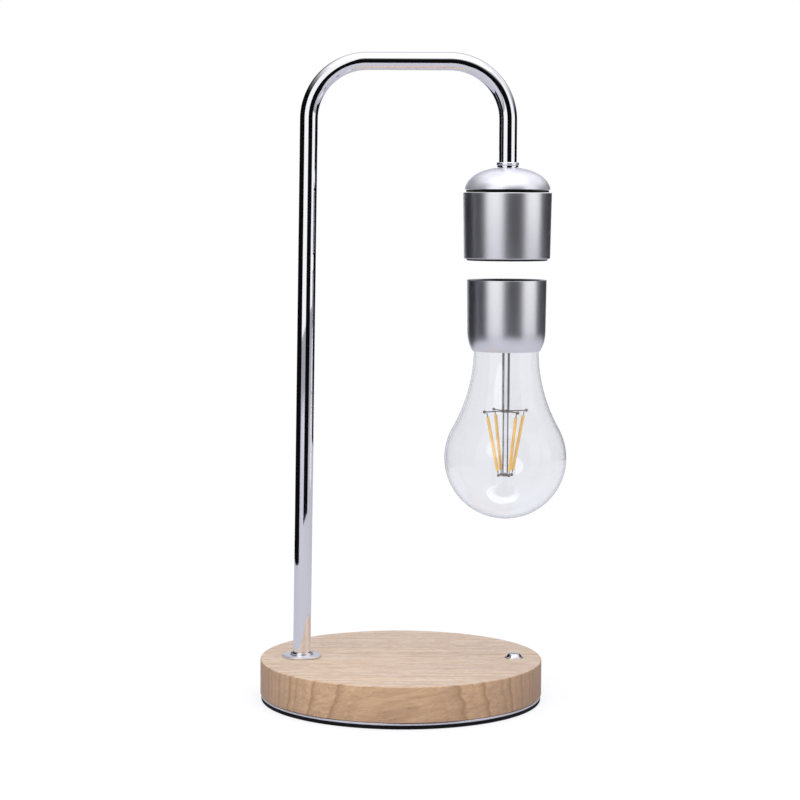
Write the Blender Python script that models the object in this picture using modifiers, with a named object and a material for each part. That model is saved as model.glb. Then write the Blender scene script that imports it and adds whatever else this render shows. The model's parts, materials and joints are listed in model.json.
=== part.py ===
"""Levitating lamp: a bent chrome arm on a round wooden base holds a magnet head, and a bulb floats under it.

Metres, +Z up. The origin is the centre of the base's underside. The post stands at -X, the bulb hangs at +X,
and the front of the lamp faces -Y.
"""

import math

import bmesh
import bpy
from mathutils import Matrix, Vector

# Driving dimensions of the whole lamp
overall_height = 0.365
base_diameter = 0.160
bulb_height = 0.135
cup_height = 0.040
arm_reach = 0.115
post_edge_distance = 0.0235
button_edge_distance = 0.0156
head_below_top = 0.0636
float_gap = 0.0108

# Gaps and cutting
seat_gap = 0.0003
running_gap = 0.0003
cut_overrun = 0.002
merge_distance = 0.00001

# Base
pad_thickness = 0.0018
plate_thickness = 0.0012
foot_inset = 0.0005
wood_thickness = 0.0198
wood_top_chamfer = 0.0009
wood_foot_chamfer = 0.0004
base_wall = 0.009
pocket_depth = 0.0125
base_screw_count = 3
base_screw_start_angle = -math.pi / 2
base_screw_shank = 0.0028
base_screw_length = 0.0125
base_screw_head = 0.0048
base_screw_head_height = 0.0015
base_screw_slot_width = 0.0008
base_screw_slot_depth = 0.0006

# Arm
tube_diameter = 0.010
tube_wall = 0.001
bend_radius = 0.0325
post_lean = 0.0037
tube_below_wood = 0.0064
lead_diameter = 0.0026
lead_above_plate = 0.0013
lead_slope_share = 0.45
flange_brim = 0.00475
flange_thickness = 0.0011
flange_edge_chamfer = 0.0003
collar_wall = 0.00135
flange_collar_height = 0.0014
flange_collar_chamfer = 0.0005
post_washer_brim = 0.005
post_washer_thickness = 0.001
nut_wall = 0.002
nut_thickness = 0.004

# Control board in the base
board_post_distance = 0.0255
board_width = 0.032
board_thickness = 0.0016
board_corner = 0.002
board_edge_gap = 0.0011
standoff_diameter = 0.006
standoff_height = 0.0042
standoff_end_distance = 0.012
chip_length = 0.010
chip_width = 0.010
chip_height = 0.0012
chip_from_middle = 0.0085
capacitor_diameter = 0.0063
capacitor_height = 0.0055
capacitor_from_middle = 0.0115
capacitor_y = 0.009
lead_plug_length = 0.008
lead_plug_width = 0.007
lead_plug_height = 0.0042
lead_plug_from_end = 0.001

# Button and its switch
bushing_diameter = 0.0106
bushing_wall = 0.0005
bushing_rim_height = 0.0002
bushing_depth = 0.0064
bushing_floor = 0.001
button_rise = 0.0024
button_body_height = 0.0040
button_dome_height = 0.0007
button_stem_diameter = 0.003
button_travel = 0.001
spring_wire = 0.0004
spring_turns = 3
spring_points_per_turn = 10
switch_width = 0.006
switch_height = 0.004
switch_edge = 0.0004
plunger_diameter = 0.0034
plunger_height = 0.0021
plunger_depth_in_switch = 0.0015

# Power inlet at the back of the base
inlet_above_floor = 0.0069
inlet_recess_diameter = 0.011
inlet_seat_wall = 0.003
jack_flange_brim = 0.0012
jack_flange_thickness = 0.001
jack_thread_diameter = 0.0076
jack_length = 0.0112
jack_bore_diameter = 0.0056
jack_bore_depth = 0.0088
jack_pin_diameter = 0.002
jack_pin_setback = 0.0012
jack_nut_wall = 0.0011
jack_nut_thickness = 0.002

# Lamp head
cover_thickness = 0.0016
cover_drop = 0.001
cover_edge_chamfer = 0.0003
sleeve_bottom_diameter = 0.0484
sleeve_top_diameter = 0.0497
sleeve_height = 0.0370
sleeve_wall = 0.0012
sleeve_edge_radius = 0.0006
seam_height = 0.0017
seam_inset = 0.0008
seam_ring_width = 0.0025
dome_diameter = 0.0480
dome_height = 0.0124
dome_wall = 0.001
dome_crown_land = 0.0020
dome_half_height = 0.0144
dome_fullness = 2.2
dome_neck_wall = 0.0009
collar_height = 0.0028
collar_neck_height = 0.0008
collar_neck_wall = 0.0007

# Magnet and coils in the lamp head
core_diameter = 0.012
head_inner_clearance = 0.002
coil_inset = 0.0005
sensor_room = 0.002
transmitter_coil_thickness = 0.0012
ferrite_thickness = 0.0008
bias_magnet_thickness = 0.004
bobbin_height = 0.0180
bobbin_wall = 0.0011
yoke_thickness = 0.0025
head_board_thickness = 0.0016
sensor_length = 0.0041
sensor_width = 0.0030
sensor_height = 0.0011

# Floating bulb
cup_over_neck = 0.0038
cup_rim_flare = 0.00035
cup_wall = 0.0012
cup_rim_chamfer = 0.0003
cup_curve_width = 0.0065
cup_curve_height = 0.0115
cup_lip = 0.0004
cup_mouth_clearance = 0.0004
cup_cover_recess = 0.0023
cup_cover_thickness = 0.0015
receiver_coil_width = 0.0092
receiver_inset = 0.001
receiver_coil_thickness = 0.0012
magnet_diameter = 0.025
magnet_thickness = 0.008
tray_floor = 0.0015
tray_wall = 0.0016
bulb_board_thickness = 0.0012
neck_seat_shelf = 0.0030

# Glass envelope and what it holds
bowl_radius = 0.0345
neck_radius = 0.0182
shoulder_in_cup = 0.0011
glass_wall = 0.0009
neck_in_cup = 0.0125
stem_diameter = 0.0033
stem_flare_thickness = 0.0012
stem_flare_height = 0.0070
carrier_wire = 0.0007
carrier_bead = 0.0018
carrier_hub_wall = 0.0006
carrier_hub_height = 0.0014
carrier_turn = math.radians(26.9)
upper_carrier_height = 0.0608
upper_carrier_reach = 0.0136
upper_filament_radius = 0.0122
lower_carrier_height = 0.0246
lower_carrier_reach = 0.0043
filament_count = 4
filament_diameter = 0.0018
filament_end_gap = 0.0003
filament_pin_diameter = 0.0006
filament_top_pin = 0.0022
filament_bottom_pin = 0.0014
stem_lead_wire = 0.0005

# Facets
wide_steps = 48
round_steps = 32
small_steps = 24
tiny_steps = 16

# Heights worked out from the sizes above, from the table up
plate_z = pad_thickness + seat_gap
plate_top_z = plate_z + plate_thickness
wood_z = plate_top_z + seat_gap
base_top_z = wood_z + wood_thickness
pocket_roof_z = wood_z + pocket_depth
dome_top_z = overall_height - head_below_top
dome_z = dome_top_z - dome_height
sleeve_top_z = dome_z - seam_height
sleeve_z = sleeve_top_z - sleeve_height
head_z = sleeve_z - cover_drop
cup_rim_z = head_z - float_gap
bulb_z = cup_rim_z - bulb_height

# Places and radii worked out from the sizes above
base_radius = base_diameter / 2
pocket_radius = base_radius - base_wall
post_x = post_edge_distance - base_radius
bulb_x = post_x + arm_reach
button_x = base_radius - button_edge_distance
tube_radius = tube_diameter / 2
tube_hole_radius = tube_radius + running_gap
board_start_x = post_x + board_post_distance
board_end_x = math.sqrt((pocket_radius - board_edge_gap) ** 2 - (board_width / 2) ** 2)
board_length = board_end_x - board_start_x
sleeve_bore_radius = sleeve_bottom_diameter / 2 - sleeve_wall
head_inner_radius = sleeve_bore_radius - head_inner_clearance
dome_neck_radius = tube_hole_radius + dome_neck_wall
dome_foot_share = 1 - dome_height / dome_half_height
dome_half_width = dome_diameter / 2 / (1 - dome_foot_share**dome_fullness) ** (1 / dome_fullness)
dome_neck_share = dome_neck_radius / dome_half_width
dome_crown_drop = dome_half_height * (1 - (1 - dome_neck_share**dome_fullness) ** (1 / dome_fullness))
collar_z = dome_top_z - dome_crown_drop + seat_gap
arm_top_z = overall_height - tube_radius
tube_foot_z = pocket_roof_z - tube_below_wood
head_nut_top_z = dome_top_z - dome_crown_land - seat_gap
tube_end_z = head_nut_top_z - nut_thickness - seat_gap

# Colours: red, green, blue, roughness, metallic
FINISHES = {
    "ash_wood": (0.74, 0.60, 0.49, 0.55, 0.0),
    "rubber": (0.02, 0.02, 0.022, 0.8, 0.0),
    "steel": (0.62, 0.63, 0.66, 0.35, 1.0),
    "chrome": (0.85, 0.85, 0.87, 0.06, 1.0),
    "satin_aluminium": (0.60, 0.60, 0.64, 0.32, 1.0),
    "black_plastic": (0.015, 0.015, 0.017, 0.45, 0.0),
    "copper": (0.72, 0.33, 0.14, 0.35, 1.0),
    "board_green": (0.02, 0.20, 0.09, 0.5, 0.0),
    "ferrite": (0.06, 0.06, 0.065, 0.7, 0.0),
    "nickel": (0.70, 0.68, 0.64, 0.25, 1.0),
    "white_plastic": (0.80, 0.80, 0.78, 0.5, 0.0),
    "cable_sheath": (0.03, 0.03, 0.03, 0.6, 0.0),
    "glass": (0.90, 0.91, 0.94, 0.03, 0.0),
    "filament_amber": (0.85, 0.48, 0.12, 0.6, 0.0),
}


def clear_scene():
    for obj in list(bpy.data.objects):
        bpy.data.objects.remove(obj, do_unlink=True)


def new_collection(name):
    collection = bpy.data.collections.new(name)
    bpy.context.scene.collection.children.link(collection)
    return collection


def new_axis(name, x, y, z):
    """An empty that carries the pieces of one sub-assembly."""
    axis = bpy.data.objects.new(name, None)
    axis.empty_display_size = base_diameter / 8
    lamp.objects.link(axis)
    axis.location = (x, y, z)
    return axis


def finish_material(name, finish):
    red, green, blue, roughness, metallic = FINISHES[finish]
    material = bpy.data.materials.new(name)
    material.use_nodes = True
    shader = material.node_tree.nodes["Principled BSDF"]
    shader.inputs["Base Color"].default_value = (red, green, blue, 1.0)
    shader.inputs["Roughness"].default_value = roughness
    shader.inputs["Metallic"].default_value = metallic
    if finish == "glass":
        shader.inputs["Transmission Weight"].default_value = 1.0
    return material


def smooth(mesh):
    mesh.shade_smooth()
    mesh.set_sharp_from_angle(angle=math.radians(35))


def add_part(name, mesh, finish, axis):
    """Puts a finished mesh in the lamp, on the axis that carries it. Its origin is that axis."""
    smooth(mesh)
    mesh.materials.clear()
    mesh.materials.append(finish_material(name, finish))
    obj = bpy.data.objects.new(name, mesh)
    lamp.objects.link(obj)
    obj.parent = axis
    return obj


def evaluated_mesh(obj):
    """The mesh that an object's modifiers or curve make, with its transform taken in and the object removed."""
    bpy.context.view_layer.update()
    graph = bpy.context.evaluated_depsgraph_get()
    mesh = bpy.data.meshes.new_from_object(obj.evaluated_get(graph))
    mesh.transform(obj.matrix_world)
    bpy.data.objects.remove(obj, do_unlink=True)
    return mesh


def weld(mesh, distance):
    work = bmesh.new()
    work.from_mesh(mesh)
    bmesh.ops.remove_doubles(work, verts=work.verts, dist=distance)
    bmesh.ops.recalc_face_normals(work, faces=work.faces)
    work.to_mesh(mesh)
    work.free()
    return mesh


def turned_mesh(outline, steps, ring=False):
    """Turns an outline of (radius, height) points about Z. It runs down the outer side, and a ring closes on itself."""
    mesh = bpy.data.meshes.new("outline")
    points = [(radius, 0, height) for radius, height in outline]
    edges = [(i, i + 1) for i in range(len(points) - 1)]
    if ring:
        edges.append((len(points) - 1, 0))
    mesh.from_pydata(points, edges, [])
    obj = bpy.data.objects.new("outline", mesh)
    bpy.context.scene.collection.objects.link(obj)
    screw = obj.modifiers.new("Turn", "SCREW")
    screw.axis = "Z"
    screw.angle = 2 * math.pi
    screw.steps = steps
    screw.render_steps = steps
    screw.use_merge_vertices = True
    screw.merge_threshold = merge_distance
    return evaluated_mesh(obj)


def arc(centre_radius, centre_height, radius, start, end, count):
    """Points on an arc in the turning plane. The angle is 0 outwards and a quarter turn upwards."""
    points = []
    for i in range(count + 1):
        angle = start + (end - start) * i / count
        points.append((centre_radius + radius * math.cos(angle), centre_height + radius * math.sin(angle)))
    return points


def disc_outline(radius, bottom, top, chamfer=0.0):
    if not chamfer:
        return [(0, top), (radius, top), (radius, bottom), (0, bottom)]
    return [
        (0, top),
        (radius - chamfer, top),
        (radius, top - chamfer),
        (radius, bottom + chamfer),
        (radius - chamfer, bottom),
        (0, bottom),
    ]


def ring_outline(outer, inner, bottom, top, chamfer=0.0):
    if not chamfer:
        return [(outer, top), (outer, bottom), (inner, bottom), (inner, top)]
    return [
        (outer - chamfer, top),
        (outer, top - chamfer),
        (outer, bottom + chamfer),
        (outer - chamfer, bottom),
        (inner + chamfer, bottom),
        (inner, bottom + chamfer),
        (inner, top - chamfer),
        (inner + chamfer, top),
    ]


def disc(name, finish, axis, radius, bottom, top, steps=round_steps, chamfer=0.0):
    return add_part(name, turned_mesh(disc_outline(radius, bottom, top, chamfer), steps), finish, axis)


def ring(name, finish, axis, outer, inner, bottom, top, steps=round_steps, chamfer=0.0):
    outline = ring_outline(outer, inner, bottom, top, chamfer)
    return add_part(name, turned_mesh(outline, steps, ring=True), finish, axis)


def box_mesh(length, width, height, bottom, edge=0.0):
    """A box centred on Z, standing on the given height, with its upright edges rounded."""
    mesh = bpy.data.meshes.new("box")
    work = bmesh.new()
    bmesh.ops.create_cube(work, size=1)
    bmesh.ops.scale(work, vec=(length, width, height), verts=work.verts)
    bmesh.ops.translate(work, vec=(0, 0, bottom + height / 2), verts=work.verts)
    if edge:
        upright = [e for e in work.edges if abs(e.verts[0].co.z - e.verts[1].co.z) > height / 2]
        bmesh.ops.bevel(work, geom=upright, offset=edge, segments=3, profile=0.5, affect="EDGES")
    work.to_mesh(mesh)
    work.free()
    return mesh


def box(name, finish, axis, length, width, height, x, y, bottom, edge=0.0):
    obj = add_part(name, box_mesh(length, width, height, bottom, edge), finish, axis)
    obj.location = (x, y, 0)
    return obj


def hexagon_mesh(across_flats, bottom, top):
    """A six-sided prism with its flats facing along Y."""
    mesh = bpy.data.meshes.new("hexagon")
    work = bmesh.new()
    corner = across_flats / 2 / math.cos(math.pi / 6)
    bmesh.ops.create_cone(work, cap_ends=True, segments=6, radius1=corner, radius2=corner, depth=top - bottom)
    bmesh.ops.translate(work, vec=(0, 0, (top + bottom) / 2), verts=work.verts)
    work.to_mesh(mesh)
    work.free()
    mesh.transform(Matrix.Rotation(math.pi / 6, 4, "Z"))
    return mesh


def curve_mesh(points, diameter, resolution, closed=False):
    """A round bar along the points, with filled ends, as a closed mesh."""
    curve = bpy.data.curves.new("route", "CURVE")
    curve.dimensions = "3D"
    curve.bevel_depth = diameter / 2
    curve.bevel_resolution = resolution
    curve.use_fill_caps = True
    spline = curve.splines.new("POLY")
    spline.points.add(len(points) - 1)
    for point, place in zip(spline.points, points):
        point.co = (*place, 1)
    spline.use_cyclic_u = closed
    obj = bpy.data.objects.new("route", curve)
    bpy.context.scene.collection.objects.link(obj)
    return weld(evaluated_mesh(obj), diameter / 1000)


def make_cutter(name, mesh, matrix=None):
    cutter = bpy.data.objects.new(name, mesh)
    cutter.display_type = "WIRE"
    cutter.hide_render = True
    cutters.objects.link(cutter)
    if matrix:
        cutter.matrix_world = matrix
    return cutter


def combine(obj, other, operation):
    modifier = obj.modifiers.new(other.name, "BOOLEAN")
    modifier.operation = operation
    modifier.object = other
    modifier.solver = "EXACT"


def bore(obj, name, radius, bottom, top, x, y=0.0, steps=small_steps):
    """Cuts an upright round hole. Half a facet's turn keeps the cutter's corners off the lamp's middle plane."""
    place = Matrix.Translation((x, y, 0)) @ Matrix.Rotation(math.pi / steps, 4, "Z")
    cutter = make_cutter(name, turned_mesh(disc_outline(radius, bottom, top), steps), place)
    combine(obj, cutter, "DIFFERENCE")


def screw_places():
    for i in range(base_screw_count):
        angle = base_screw_start_angle + 2 * math.pi * i / base_screw_count
        radius = (base_radius + pocket_radius) / 2
        yield i + 1, radius * math.cos(angle), radius * math.sin(angle)


# Wooden base, its plate and its pad

def build_wood_base():
    radius = base_radius
    pocket = pocket_radius
    outline = [
        (0, base_top_z),
        (radius - wood_top_chamfer, base_top_z),
        (radius, base_top_z - wood_top_chamfer),
        (radius, wood_z + wood_foot_chamfer),
        (radius - wood_foot_chamfer, wood_z),
        (pocket, wood_z),
        (pocket, pocket_roof_z),
        (0, pocket_roof_z),
    ]
    wood = add_part("wood_base", turned_mesh(outline, wide_steps), "ash_wood", base_axis)
    roof_low = pocket_roof_z - cut_overrun
    roof_high = base_top_z + cut_overrun
    bore(wood, "post_bore", tube_hole_radius, roof_low, roof_high, post_x)
    bore(wood, "button_bore", bushing_diameter / 2 + seat_gap, roof_low, roof_high, button_x)
    pilot_top = plate_z + base_screw_length + seat_gap
    for number, x, y in screw_places():
        pilot = base_screw_shank / 2 + seat_gap
        bore(wood, f"pilot_{number}", pilot, wood_z - cut_overrun, pilot_top, x, y, tiny_steps)
    along_y = Matrix.Rotation(-math.pi / 2, 4, "X")
    half_facet = Matrix.Rotation(math.pi / small_steps, 4, "Z")
    jack_place = Matrix.Translation((0, 0, wood_z + inlet_above_floor)) @ along_y @ half_facet
    thread_hole = turned_mesh(
        disc_outline(jack_thread_diameter / 2 + seat_gap, pocket - cut_overrun, radius + cut_overrun), small_steps
    )
    combine(wood, make_cutter("jack_bore", thread_hole, jack_place), "DIFFERENCE")
    recess = turned_mesh(
        disc_outline(inlet_recess_diameter / 2, pocket + inlet_seat_wall, radius + cut_overrun), small_steps
    )
    combine(wood, make_cutter("jack_recess", recess, jack_place), "DIFFERENCE")


def build_foot():
    radius = base_radius - foot_inset
    plate = disc("weight_plate", "steel", base_axis, radius, plate_z, plate_top_z, wide_steps)
    pad = disc("rubber_pad", "rubber", base_axis, radius, 0, pad_thickness, wide_steps)
    for number, x, y in screw_places():
        shank_hole = base_screw_shank / 2 + seat_gap
        head_hole = base_screw_head / 2 + seat_gap
        bore(plate, f"plate_hole_{number}", shank_hole, plate_z - cut_overrun, wood_z, x, y, tiny_steps)
        bore(pad, f"pad_hole_{number}", head_hole, -cut_overrun, pad_thickness + cut_overrun, x, y, tiny_steps)


def build_base_screws():
    head_top = pad_thickness
    head_bottom = head_top - base_screw_head_height
    shank = base_screw_shank / 2
    head = base_screw_head / 2
    point = plate_z + base_screw_length
    outline = [
        (0, point),
        (shank / 2, point),
        (shank, point - shank),
        (shank, head_top),
        (head, head_top),
        (head, head_bottom + base_screw_slot_width / 2),
        (head - base_screw_slot_width / 2, head_bottom),
        (0, head_bottom),
    ]
    for number, x, y in screw_places():
        screw = add_part(f"base_screw_{number}", turned_mesh(outline, tiny_steps), "nickel", base_axis)
        screw.location = (x, y, 0)
        slot_height = base_screw_slot_depth + cut_overrun
        slot_bottom = head_bottom - cut_overrun
        slot = box_mesh(base_screw_head + cut_overrun, base_screw_slot_width, slot_height, slot_bottom)
        place = Matrix.Translation((x, y, 0))
        combine(screw, make_cutter(f"screw_slot_{number}", slot, place), "DIFFERENCE")


# Arm: post, bends and drop

def arm_route(start_z, end_z, steps_in_bend):
    """The centreline from the foot of the post, round both bends, down to the lamp head."""
    lean_start = base_top_z + seat_gap + flange_thickness + flange_collar_height
    post_top = post_x + post_lean
    bend_z = arm_top_z - bend_radius
    points = [(post_x, start_z), (post_x, lean_start)]
    for i in range(steps_in_bend + 1):
        angle = math.pi - math.pi / 2 * i / steps_in_bend
        points.append(
            (post_top + bend_radius + bend_radius * math.cos(angle), bend_z + bend_radius * math.sin(angle))
        )
    for i in range(steps_in_bend + 1):
        angle = math.pi / 2 - math.pi / 2 * i / steps_in_bend
        points.append(
            (bulb_x - bend_radius + bend_radius * math.cos(angle), bend_z + bend_radius * math.sin(angle))
        )
    points.append((bulb_x, end_z))
    return [Vector((x, 0, z)) for x, z in points]


def build_arm_tube():
    bend_steps = 12
    outer = curve_mesh(arm_route(tube_foot_z, tube_end_z, bend_steps), tube_diameter, 6)
    inner_route = arm_route(tube_foot_z - cut_overrun, tube_end_z - cut_overrun, bend_steps)
    inner = curve_mesh(inner_route, tube_diameter - 2 * tube_wall, 4)
    tube = add_part("arm_tube", outer, "chrome", base_axis)
    combine(tube, make_cutter("tube_bore", inner), "DIFFERENCE")


def build_arm_lead():
    """The lead runs from the base board's plug, down beside the board, and inside the tube up to the head board."""
    plug_middle = board_top_z + seat_gap + lead_plug_height / 2
    plug_face = board_start_x + lead_plug_from_end - seat_gap
    low = plate_top_z + lead_above_plate + lead_diameter / 2
    turn = lead_diameter
    slope = (plug_face - turn - post_x) * lead_slope_share
    route = [Vector((plug_face, 0, plug_middle)), Vector((plug_face - turn, 0, plug_middle))]
    for i in range(1, 6):
        angle = math.pi * i / 5
        height = low + (plug_middle - low) * (1 + math.cos(angle)) / 2
        route.append(Vector((plug_face - turn - slope * i / 5, 0, height)))
    for x, z in arc(post_x + turn, low + turn, turn, 3 * math.pi / 2, math.pi, 4):
        route.append(Vector((x, 0, z)))
    route += arm_route(tube_foot_z, head_board_top_z + seat_gap, 10)
    add_part("arm_lead", curve_mesh(route, lead_diameter, 2), "cable_sheath", base_axis)


def build_post_fixing():
    collar = tube_radius + collar_wall
    rim = collar + flange_brim
    hole = tube_hole_radius
    bottom = base_top_z + seat_gap
    top = bottom + flange_thickness
    collar_top = top + flange_collar_height
    outline = [
        (collar - flange_collar_chamfer, collar_top),
        (collar, collar_top - flange_collar_chamfer),
        (collar, top),
        (rim - flange_edge_chamfer, top),
        (rim, top - flange_edge_chamfer),
        (rim, bottom),
        (hole, bottom),
        (hole, collar_top),
    ]
    flange = add_part("post_flange", turned_mesh(outline, small_steps, ring=True), "chrome", base_axis)
    flange.location = (post_x, 0, 0)
    washer_top = pocket_roof_z - seat_gap
    washer_bottom = washer_top - post_washer_thickness
    outer = tube_radius + post_washer_brim
    washer = ring("post_washer", "steel", base_axis, outer, hole, washer_bottom, washer_top, small_steps)
    washer.location = (post_x, 0, 0)
    nut_top = washer_bottom - seat_gap
    hex_nut("post_nut", base_axis, post_x, nut_top - nut_thickness, nut_top)


def hex_nut(name, axis, x, bottom, top):
    nut = add_part(name, hexagon_mesh(tube_diameter + 2 * nut_wall, bottom, top), "nickel", axis)
    nut.location = (x, 0, 0)
    bore(nut, f"{name}_bore", tube_hole_radius, bottom - cut_overrun, top + cut_overrun, x)


# Control board, its parts and the power inlet

board_z = plate_top_z + seat_gap + standoff_height + seat_gap
board_top_z = board_z + board_thickness
board_x = board_start_x + board_length / 2


def build_control_board():
    board = box_mesh(board_length, board_width, board_thickness, board_z, board_corner)
    add_part("control_board", board, "board_green", base_axis).location = (board_x, 0, 0)
    bottom = plate_top_z + seat_gap
    places = (board_start_x + standoff_end_distance, board_end_x - standoff_end_distance)
    for number, x in enumerate(places, 1):
        post = disc(f"board_standoff_{number}", "white_plastic", base_axis, standoff_diameter / 2, bottom,
                    bottom + standoff_height, tiny_steps)
        post.location = (x, 0, 0)
    parts_z = board_top_z + seat_gap
    box("controller_chip", "black_plastic", base_axis, chip_length, chip_width, chip_height,
        board_x - chip_from_middle, 0, parts_z)
    capacitor = disc("filter_capacitor", "satin_aluminium", base_axis, capacitor_diameter / 2, parts_z,
                     parts_z + capacitor_height, tiny_steps)
    capacitor.location = (board_x + capacitor_from_middle, capacitor_y, 0)
    plug_x = board_start_x + lead_plug_from_end + lead_plug_length / 2
    box("lead_plug", "white_plastic", base_axis, lead_plug_length, lead_plug_width, lead_plug_height, plug_x, 0,
        parts_z)


def build_power_inlet():
    """Turned about the inlet's own axis, which points backwards: heights here are distances from the lamp's middle."""
    back = pocket_radius + inlet_seat_wall + seat_gap
    front = back + jack_flange_thickness
    inner_end = front - jack_length
    thread = jack_thread_diameter / 2
    flange = thread + jack_flange_brim
    socket = jack_bore_diameter / 2
    pin = jack_pin_diameter / 2
    bore_floor = front - jack_bore_depth
    pin_tip = front - jack_pin_setback
    outline = [
        (0, pin_tip),
        (pin / 2, pin_tip),
        (pin, pin_tip - pin / 2),
        (pin, bore_floor),
        (socket, bore_floor),
        (socket, front),
        (flange, front),
        (flange, back),
        (thread, back),
        (thread, inner_end),
        (0, inner_end),
    ]
    turn = Matrix.Rotation(-math.pi / 2, 4, "X")
    jack = turned_mesh(outline, small_steps)
    jack.transform(turn)
    height = wood_z + inlet_above_floor
    add_part("dc_jack", jack, "black_plastic", base_axis).location = (0, 0, height)
    nut_outer = pocket_radius - 2 * seat_gap
    nut_inner = nut_outer - jack_nut_thickness
    nut = hexagon_mesh(jack_thread_diameter + 2 * jack_nut_wall, nut_inner, nut_outer)
    nut.transform(turn)
    nut_part = add_part("dc_jack_nut", nut, "nickel", base_axis)
    nut_part.location = (0, 0, height)
    hole = turned_mesh(disc_outline(thread + running_gap, nut_inner - cut_overrun, nut_outer + cut_overrun),
                       small_steps)
    place = Matrix.Translation((0, 0, height)) @ turn
    combine(nut_part, make_cutter("jack_nut_bore", hole, place), "DIFFERENCE")


# Button, its bushing, spring and switch

bushing_top_z = base_top_z + bushing_rim_height
bushing_bottom_z = bushing_top_z - bushing_depth
bushing_floor_z = bushing_bottom_z + bushing_floor
button_top_z = base_top_z + button_rise
button_bottom_z = button_top_z - button_body_height
switch_z = board_top_z + seat_gap
switch_top_z = switch_z + switch_height
plunger_z = switch_top_z - plunger_depth_in_switch
plunger_top_z = plunger_z + plunger_height
stem_bottom_z = plunger_top_z + seat_gap


def build_button():
    bore_radius = bushing_diameter / 2 - bushing_wall
    stem = button_stem_diameter / 2
    rim = bushing_diameter / 2
    outline = [
        (rim - bushing_wall / 3, bushing_top_z),
        (rim, bushing_top_z - bushing_wall / 3),
        (rim, bushing_bottom_z),
        (stem + running_gap, bushing_bottom_z),
        (stem + running_gap, bushing_floor_z),
        (bore_radius, bushing_floor_z),
        (bore_radius, bushing_top_z),
    ]
    bushing = add_part("button_bushing", turned_mesh(outline, small_steps, ring=True), "chrome", base_axis)
    bushing.location = (button_x, 0, 0)
    cap_radius = bore_radius - running_gap
    edge = cap_radius - button_dome_height
    dome = [(edge + button_dome_height * math.sin(a), button_top_z - button_dome_height
             + button_dome_height * math.cos(a)) for a in (0, math.pi / 6, math.pi / 3, math.pi / 2)]
    outline = [
        (0, button_top_z),
        *dome,
        (cap_radius, button_bottom_z),
        (stem, button_bottom_z),
        (stem, stem_bottom_z),
        (0, stem_bottom_z),
    ]
    cap = turned_mesh(outline, small_steps)
    cap.transform(Matrix.Translation((0, 0, -base_top_z)))
    add_part("button_cap", cap, "chrome", button_axis)


def build_button_spring():
    """A wound wire round the stem, from the bushing's floor to the underside of the cap."""
    bottom = bushing_floor_z + seat_gap + spring_wire / 2
    top = button_bottom_z - seat_gap - spring_wire / 2
    radius = (bushing_diameter / 2 - bushing_wall + button_stem_diameter / 2) / 2
    count = spring_turns * spring_points_per_turn
    route = []
    for i in range(count + 1):
        angle = 2 * math.pi * i / spring_points_per_turn
        height = bottom + (top - bottom) * i / count
        route.append(Vector((radius * math.cos(angle), radius * math.sin(angle), height)))
    spring = add_part("button_spring", curve_mesh(route, spring_wire, 1), "steel", base_axis)
    spring.location = (button_x, 0, 0)


def build_switch():
    body = box("switch_body", "black_plastic", base_axis, switch_width, switch_width, switch_height, button_x, 0,
               switch_z, switch_edge)
    well = plunger_z - button_travel - 2 * seat_gap
    bore(body, "switch_well", plunger_diameter / 2 + running_gap, well, switch_top_z + cut_overrun, button_x)
    plunger = turned_mesh(disc_outline(plunger_diameter / 2, plunger_z, plunger_top_z), tiny_steps)
    plunger.transform(Matrix.Translation((0, 0, -base_top_z)))
    add_part("switch_plunger", plunger, "white_plastic", button_axis)


# Lamp head: heights in these functions are above the underside of the bottom cover

def build_head_shells():
    cover = sleeve_bore_radius - seat_gap
    disc("head_bottom_cover", "black_plastic", head_axis, cover, 0, cover_thickness, round_steps, cover_edge_chamfer)
    low = sleeve_z - head_z
    high = low + sleeve_height
    bottom = sleeve_bottom_diameter / 2
    top = sleeve_top_diameter / 2
    edge = sleeve_edge_radius
    outline = [
        *arc(top - edge, high - edge, edge, math.pi / 2, 0, 2),
        *arc(bottom - edge, low + edge, edge, 0, -math.pi / 2, 2),
        (sleeve_bore_radius, low),
        (sleeve_bore_radius, high),
    ]
    add_part("head_sleeve", turned_mesh(outline, wide_steps, ring=True), "satin_aluminium", head_axis)
    outer = dome_diameter / 2 - seam_inset
    inner = outer - seam_ring_width
    ring("seam_ring", "rubber", head_axis, outer, inner, high + seat_gap, high + seam_height - seat_gap)


def dome_curve(half_width, half_height, foot, inner_radius, count):
    """The dome's section, slightly fuller than an ellipse, from its crown at the given radius down to its foot."""
    centre = foot - (dome_half_height - dome_height)
    start = math.acos((inner_radius / half_width) ** (dome_fullness / 2))
    end = math.asin(((foot - centre) / half_height) ** (dome_fullness / 2))
    points = []
    for i in range(count + 1):
        angle = start + (end - start) * i / count
        radius = half_width * math.cos(angle) ** (2 / dome_fullness)
        points.append((radius, centre + half_height * math.sin(angle) ** (2 / dome_fullness)))
    return points


def build_head_dome():
    foot = dome_z - head_z
    hole = tube_hole_radius
    neck = dome_neck_radius
    outside = dome_curve(dome_half_width, dome_half_height, foot, neck, 8)
    inside = dome_curve(dome_half_width - dome_wall, dome_half_height - dome_wall, foot, neck, 6)
    land = foot + dome_height - dome_crown_land
    inside = [point for point in reversed(inside) if point[1] < land - dome_wall / 10]
    land_radius = inside[-1][0]
    crown = outside[0][1]
    outline = [(hole, crown), *outside, *inside, (land_radius, land), (hole, land)]
    add_part("head_dome", turned_mesh(outline, round_steps, ring=True), "chrome", head_axis)


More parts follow.
